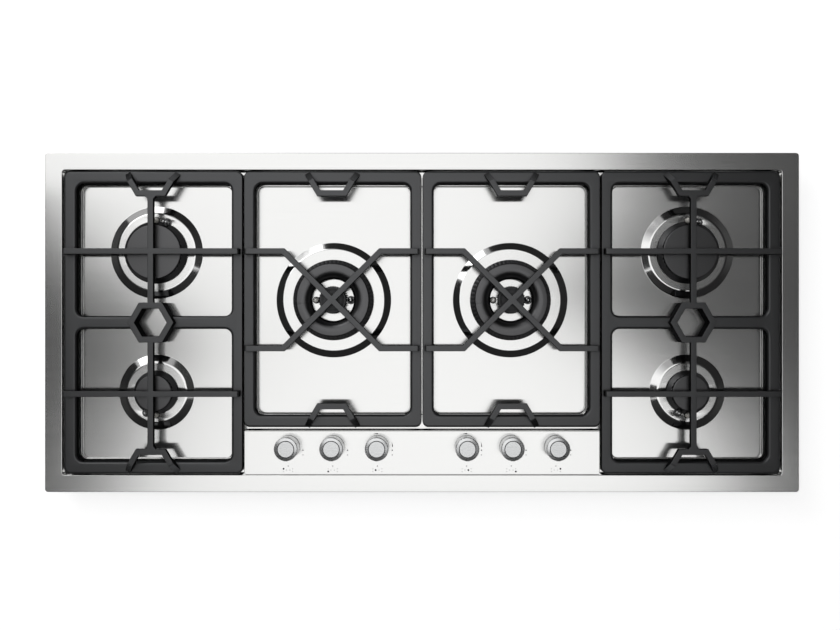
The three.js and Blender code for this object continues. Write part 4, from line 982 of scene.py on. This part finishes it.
def makeProbes(name):
    # ceramic electrode with a wire, and a thermocouple: collar, washer on the platform, and a sheath
    platform = trimTop - pan["floorDrop"] + pan["platformRise"]
    low, high = cornersOf(f"{name}_electrode")
    place = (*((low + high) / 2)[:2], 0)
    wide, narrow = probe["ceramic"]
    rim, foot, end = (platform + rise for rise in probe["ceramicShoulder"])
    ceramic = turnedProfile([(0, low[2]), (wide, low[2]), (wide, rim), (narrow, foot), (narrow, end), (0, end)],
                            [0, 0.4, 0.3, 0.4, 0.8, 0], 32, place)
    wire = turnedProfile([(0, end - 1), (probe["wire"], end - 1), (probe["wire"], high[2]), (0, high[2])],
                         [0, 0, 0.5, 0], 16, place)
    collar = flatRing(probe["collar"], platform, 32, place)
    makePiece(f"ceramicElectrode_{name}", [ceramic, (*wire, 1), (*collar, 2)],
              [glazedCeramic, buffedSteel, mouldedRubber], "cooktop", [f"{name}_electrode"])
    low, high = cornersOf(f"{name}_thermocouple")
    place = (*((low + high) / 2)[:2], 0)
    wide, narrow = probe["sheath"]
    rim, foot = (platform + rise for rise in probe["sheathShoulder"])
    end = high[2]
    body = turnedProfile([(0, low[2]), (wide, low[2]), (wide, rim), (narrow, foot), (narrow, end), (0, end)],
                         [0, 0.3, 0.5, 0.2, 1.4, 0], 32, place)
    washer = flatRing(probe["washer"], platform, 40, place)
    makePiece(f"thermocoupleTip_{name}", [body, (*washer, 1)], [satinPlated, blackEnamel], "cooktop",
              [f"{name}_thermocouple"])


for name in burnerNames:
    (makeWokBurner if kindOf(name) == "wok" else makeDiscBurner)(name)
    makeProbes(name)
print("stage: burners made")


# the knobs

knob = {
    "radius": 18.5,
    "discRadius": 12.2,
    "grooveWidth": 1.35,
    "grooveDepth": 1.1,
    "shoulderDrop": 0.95,
    "edgeRound": 1.3,
    "skirt": 2.5,
    "ceiling": 5,
    "boss": 8,
    "bore": 4.3,
    "boreTop": 7,      # bore's end below the knob's top
    "bossLift": 3,
    "pointer": (3, 2.4, 6.5),    # half width, length inwards, depth
    "pointerSunk": 0.15,
}


def makeKnob(number):
    # a hollow cap turned from one profile, with a groove in its face and a printed pointer let into its edge
    low, high = cornersOf(f"knob_{number}")
    x, y = (low[0] + high[0]) / 2, (low[1] + high[1]) / 2
    bottom, top = low[2], high[2]
    r, d, g = knob["radius"], knob["discRadius"], knob["grooveWidth"]
    shoulder = top - knob["shoulderDrop"]
    boreTop, ceiling, lift = top - knob["boreTop"], top - knob["ceiling"], bottom + knob["bossLift"]
    bore, boss, inside = knob["bore"], knob["boss"], r - knob["skirt"]
    corners = [(0, boreTop), (bore, boreTop), (bore, lift), (boss, lift), (boss, ceiling), (inside, ceiling),
               (inside, bottom), (r, bottom), (r, shoulder), (d + g, top - 0.1)]
    radii = [0, 0, 0, 0, 0, 0, 0, 0.6, knob["edgeRound"], 0]
    body = turnedProfile(corners, radii, 96, (x, y, 0), bend=5)
    # a groove shaped like a V round the flat disc; its faces carry painted shade in dark grey
    corners = [(d + g, top - 0.1), (d + g / 2, top - knob["grooveDepth"]), (d, top)]
    groove = turnedProfile(corners, [0, 0.3, 0], 96, (x, y, 0))
    face = turned([[d], [0]], [[top], [top]], 96, (x, y, 0))
    half, length, depth = knob["pointer"]
    outline = boxOutline(x - half, x + half, y - r - 0.02, y - r + length, 0.4, 3)
    insert = plate(outline, top - depth, shoulder - knob["pointerSunk"], 0.2)
    makePiece(f"turningKnob_{number}", [body, face, (*groove, 2), *[(*part, 1) for part in insert]],
              [satinPlated, printedInk, grooveShadePaint], f"pushed_knob_{number}",
              [f"knob_{number}"], smoothAngle=32)


for number in range(1, 7):
    makeKnob(number)
print("stage: knobs made")


# finishes of the nodes that keep their own mesh

finishes = {
    "lower_casing": zincSheet, "worktop_seal": cutFoam, "gas_rail": castAluminium,
    "spark_generator": mouldedPolyamide,
}
for node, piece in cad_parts.items():
    finish = finishes.get(node)
    if node.startswith("tap") or node.endswith("base"):
        finish = castAluminium
    if node.startswith("spindle"):
        finish = turnedBrass
    if finish:
        piece.data.materials.clear()
        piece.data.materials.append(finish)
print("stage: finishes set")


# the studio

# straight above the hob and looking down; its place is in mm from the hob's middle and above the trim
camera = {"place": (-3.2, 11.9), "above": 1856, "lens": 50, "sensor": 36}

studio = {
    "softboxHeight": 3.2,
    "softboxGlow": (1.55, 0.6),      # over the hob, and at its far rear end
    "softboxFade": (0.9, 1.7),       # between these distances to the rear, in m
    # where the camera sees the softbox's edge in level steel, in mm
    "mirrored": (
        (-815, 240), (-605, 205), (-540, 130), (-385, -10), (-385, -60), (-445, -155), (-480, -260),
        (-500, -315), (440, -315), (505, -260), (450, -155), (285, -5), (240, 50), (310, 190),
        (310, 305), (-575, 1665), (-830, 2265), (-2105, 2265), (-1705, 1405)),
    "cardPlace": (-1.2, 1.45, 1.9),      # a card to the rear left, in m
    "cardTarget": (-0.2, 0, 0),
    "cardSize": (1.4, 0.8),
    "cardPower": 9,
    "overhead": 0.09,      # surroundings round the softbox, straight up
    "overheadRange": (0.80, 0.96),   # from and to these heights of the unit direction
    "low": 0.025,          # surroundings at mid height
    "horizon": 0.45,       # what level steel shows to eyes that look along it
    "horizonRange": (0.6, 0.2),
    "floorSize": 30.0,
    "floorDrop": 0.0006,
    "floorColour": "e8e8e8",
    "floorLift": (0.72, 1.0),        # at these distances from the hob, in m
    "floorReach": (0.9, 5.0),
}


def makeCard():
    light = bpy.data.lights.new("rearLeftCard", "AREA")
    light.shape = "RECTANGLE"
    light.size, light.size_y = studio["cardSize"]
    light.energy = studio["cardPower"]
    lamp = bpy.data.objects.new("rearLeftCard", light)
    bpy.context.scene.collection.objects.link(lamp)
    lamp.location = studio["cardPlace"]
    lamp.visible_camera = False
    aim = Vector(studio["cardTarget"]) - Vector(studio["cardPlace"])
    lamp.rotation_euler = aim.to_track_quat("-Z", "Y").to_euler()


def makeSoftbox():
    # The camera sees a point of the softbox in level steel on the line between them, so each point of the
    # mirrored outline moves away from the camera in proportion to the two heights over the steel.
    eye = np.array(camera["place"], float)
    above = studio["softboxHeight"] / mm - trimTop
    outline = eye + (np.array(studio["mirrored"]) - eye) * (1 + above / camera["above"])
    points, faces = filled([outline], studio["softboxHeight"] / mm, up=False)
    mesh = bpy.data.meshes.new("overheadSoftbox")
    mesh.from_pydata((points * mm).tolist(), [], faces)
    material = bpy.data.materials.new("litDiffuserCloth")
    material.use_nodes = True
    tree = material.node_tree
    tree.nodes.clear()
    place = addNode(tree, "ShaderNodeTexCoord")
    rearward = addNode(tree, "ShaderNodeSeparateXYZ", {}, {"Vector": place.outputs["Object"]})
    near, far = studio["softboxFade"]
    bright, dim = studio["softboxGlow"]
    strength = addNode(tree, "ShaderNodeMapRange",
                       {"From Min": near, "From Max": far, "To Min": bright, "To Max": dim},
                       {"Value": rearward.outputs["Y"]})
    glow = addNode(tree, "ShaderNodeEmission", {"Color": (1, 1, 1, 1)},
                   {"Strength": strength.outputs["Result"]})
    addNode(tree, "ShaderNodeOutputMaterial", {}, {"Surface": glow.outputs[0]})
    mesh.materials.append(material)
    softbox = bpy.data.objects.new("overheadSoftbox", mesh)
    bpy.context.scene.collection.objects.link(softbox)
    softbox.visible_camera = False


def makeFloor():
    size, height = studio["floorSize"], -studio["floorDrop"]
    corners = [(-size, -size, height), (size, -size, height), (size, size, height), (-size, size, height)]
    mesh = bpy.data.meshes.new("studioFloor")
    mesh.from_pydata(corners, [], [(0, 1, 2, 3)])
    material = bpy.data.materials.new("paleStudioFloor")
    material.use_nodes = True
    tree = material.node_tree
    tree.nodes.clear()
    colour = toLinear(studio["floorColour"])
    path = addNode(tree, "ShaderNodeLightPath")
    seen = addNode(tree, "ShaderNodeMath", {"operation": "MAXIMUM"},
                   {0: path.outputs["Is Camera Ray"], 1: path.outputs["Is Glossy Ray"]})
    seen = addNode(tree, "ShaderNodeMath", {"operation": "MAXIMUM"},
                   {0: seen.outputs[0], 1: path.outputs["Is Transmission Ray"]})
    # the floor turns into the white background with the distance from the hob
    place = addNode(tree, "ShaderNodeTexCoord")
    distance = addNode(tree, "ShaderNodeVectorMath", {"operation": "LENGTH"}, {0: place.outputs["Object"]})
    near, far = studio["floorReach"]
    dim, bright = studio["floorLift"]
    lift = addNode(tree, "ShaderNodeMapRange",
                   {"From Min": near, "From Max": far, "To Min": dim, "To Max": bright},
                   {"Value": distance.outputs["Value"]})
    strength = addNode(tree, "ShaderNodeMath", {"operation": "MULTIPLY"},
                       {0: seen.outputs[0], 1: lift.outputs["Result"]})
    diffuse = addNode(tree, "ShaderNodeBsdfDiffuse", {"Color": colour})
    glow = addNode(tree, "ShaderNodeEmission", {"Color": (1, 1, 1, 1)}, {"Strength": strength.outputs[0]})
    both = addNode(tree, "ShaderNodeAddShader", {}, {0: diffuse.outputs[0], 1: glow.outputs[0]})
    addNode(tree, "ShaderNodeOutputMaterial", {}, {"Surface": both.outputs[0]})
    mesh.materials.append(material)
    floor = bpy.data.objects.new("studioFloor", mesh)
    bpy.context.scene.collection.objects.link(floor)


def makeWorld():
    # white behind the object; in its reflections dim overhead, dark at mid height, grey low down
    world = bpy.data.worlds.new("studioWorld")
    bpy.context.scene.world = world
    world.use_nodes = True
    tree = world.node_tree
    tree.nodes.clear()
    direction = addNode(tree, "ShaderNodeTexCoord")
    upward = addNode(tree, "ShaderNodeSeparateXYZ", {}, {"Vector": direction.outputs["Generated"]})
    start, end = studio["overheadRange"]
    overhead = addNode(tree, "ShaderNodeMapRange",
                       {"From Min": start, "From Max": end,
                        "To Min": studio["low"], "To Max": studio["overhead"]},
                       {"Value": upward.outputs["Z"]})
    start, end = studio["horizonRange"]
    horizon = addNode(tree, "ShaderNodeMapRange",
                      {"From Min": start, "From Max": end, "To Min": 0.0, "To Max": studio["horizon"]},
                      {"Value": upward.outputs["Z"]})
    dim = addNode(tree, "ShaderNodeMath", {"operation": "ADD"}, {0: overhead.outputs[0], 1: horizon.outputs[0]})
    path = addNode(tree, "ShaderNodeLightPath")
    strength = addNode(tree, "ShaderNodeMath", {"operation": "MAXIMUM"},
                       {0: dim.outputs[0], 1: path.outputs["Is Camera Ray"]})
    sky = addNode(tree, "ShaderNodeBackground", {"Color": (1, 1, 1, 1)}, {"Strength": strength.outputs[0]})
    addNode(tree, "ShaderNodeOutputWorld", {}, {"Surface": sky.outputs[0]})


def makeCamera():
    data = bpy.data.cameras.new("photoCamera")
    data.lens, data.sensor_width = camera["lens"], camera["sensor"]
    eye = bpy.data.objects.new("photoCamera", data)
    bpy.context.scene.collection.objects.link(eye)
    eye.location = (camera["place"][0] * mm, camera["place"][1] * mm, (trimTop + camera["above"]) * mm)
    bpy.context.scene.camera = eye


makeSoftbox()
makeCard()
makeFloor()
makeWorld()
makeCamera()
bpy.context.scene.view_settings.view_transform = "Standard"
bpy.context.view_layer.update()
print("stage: studio made")
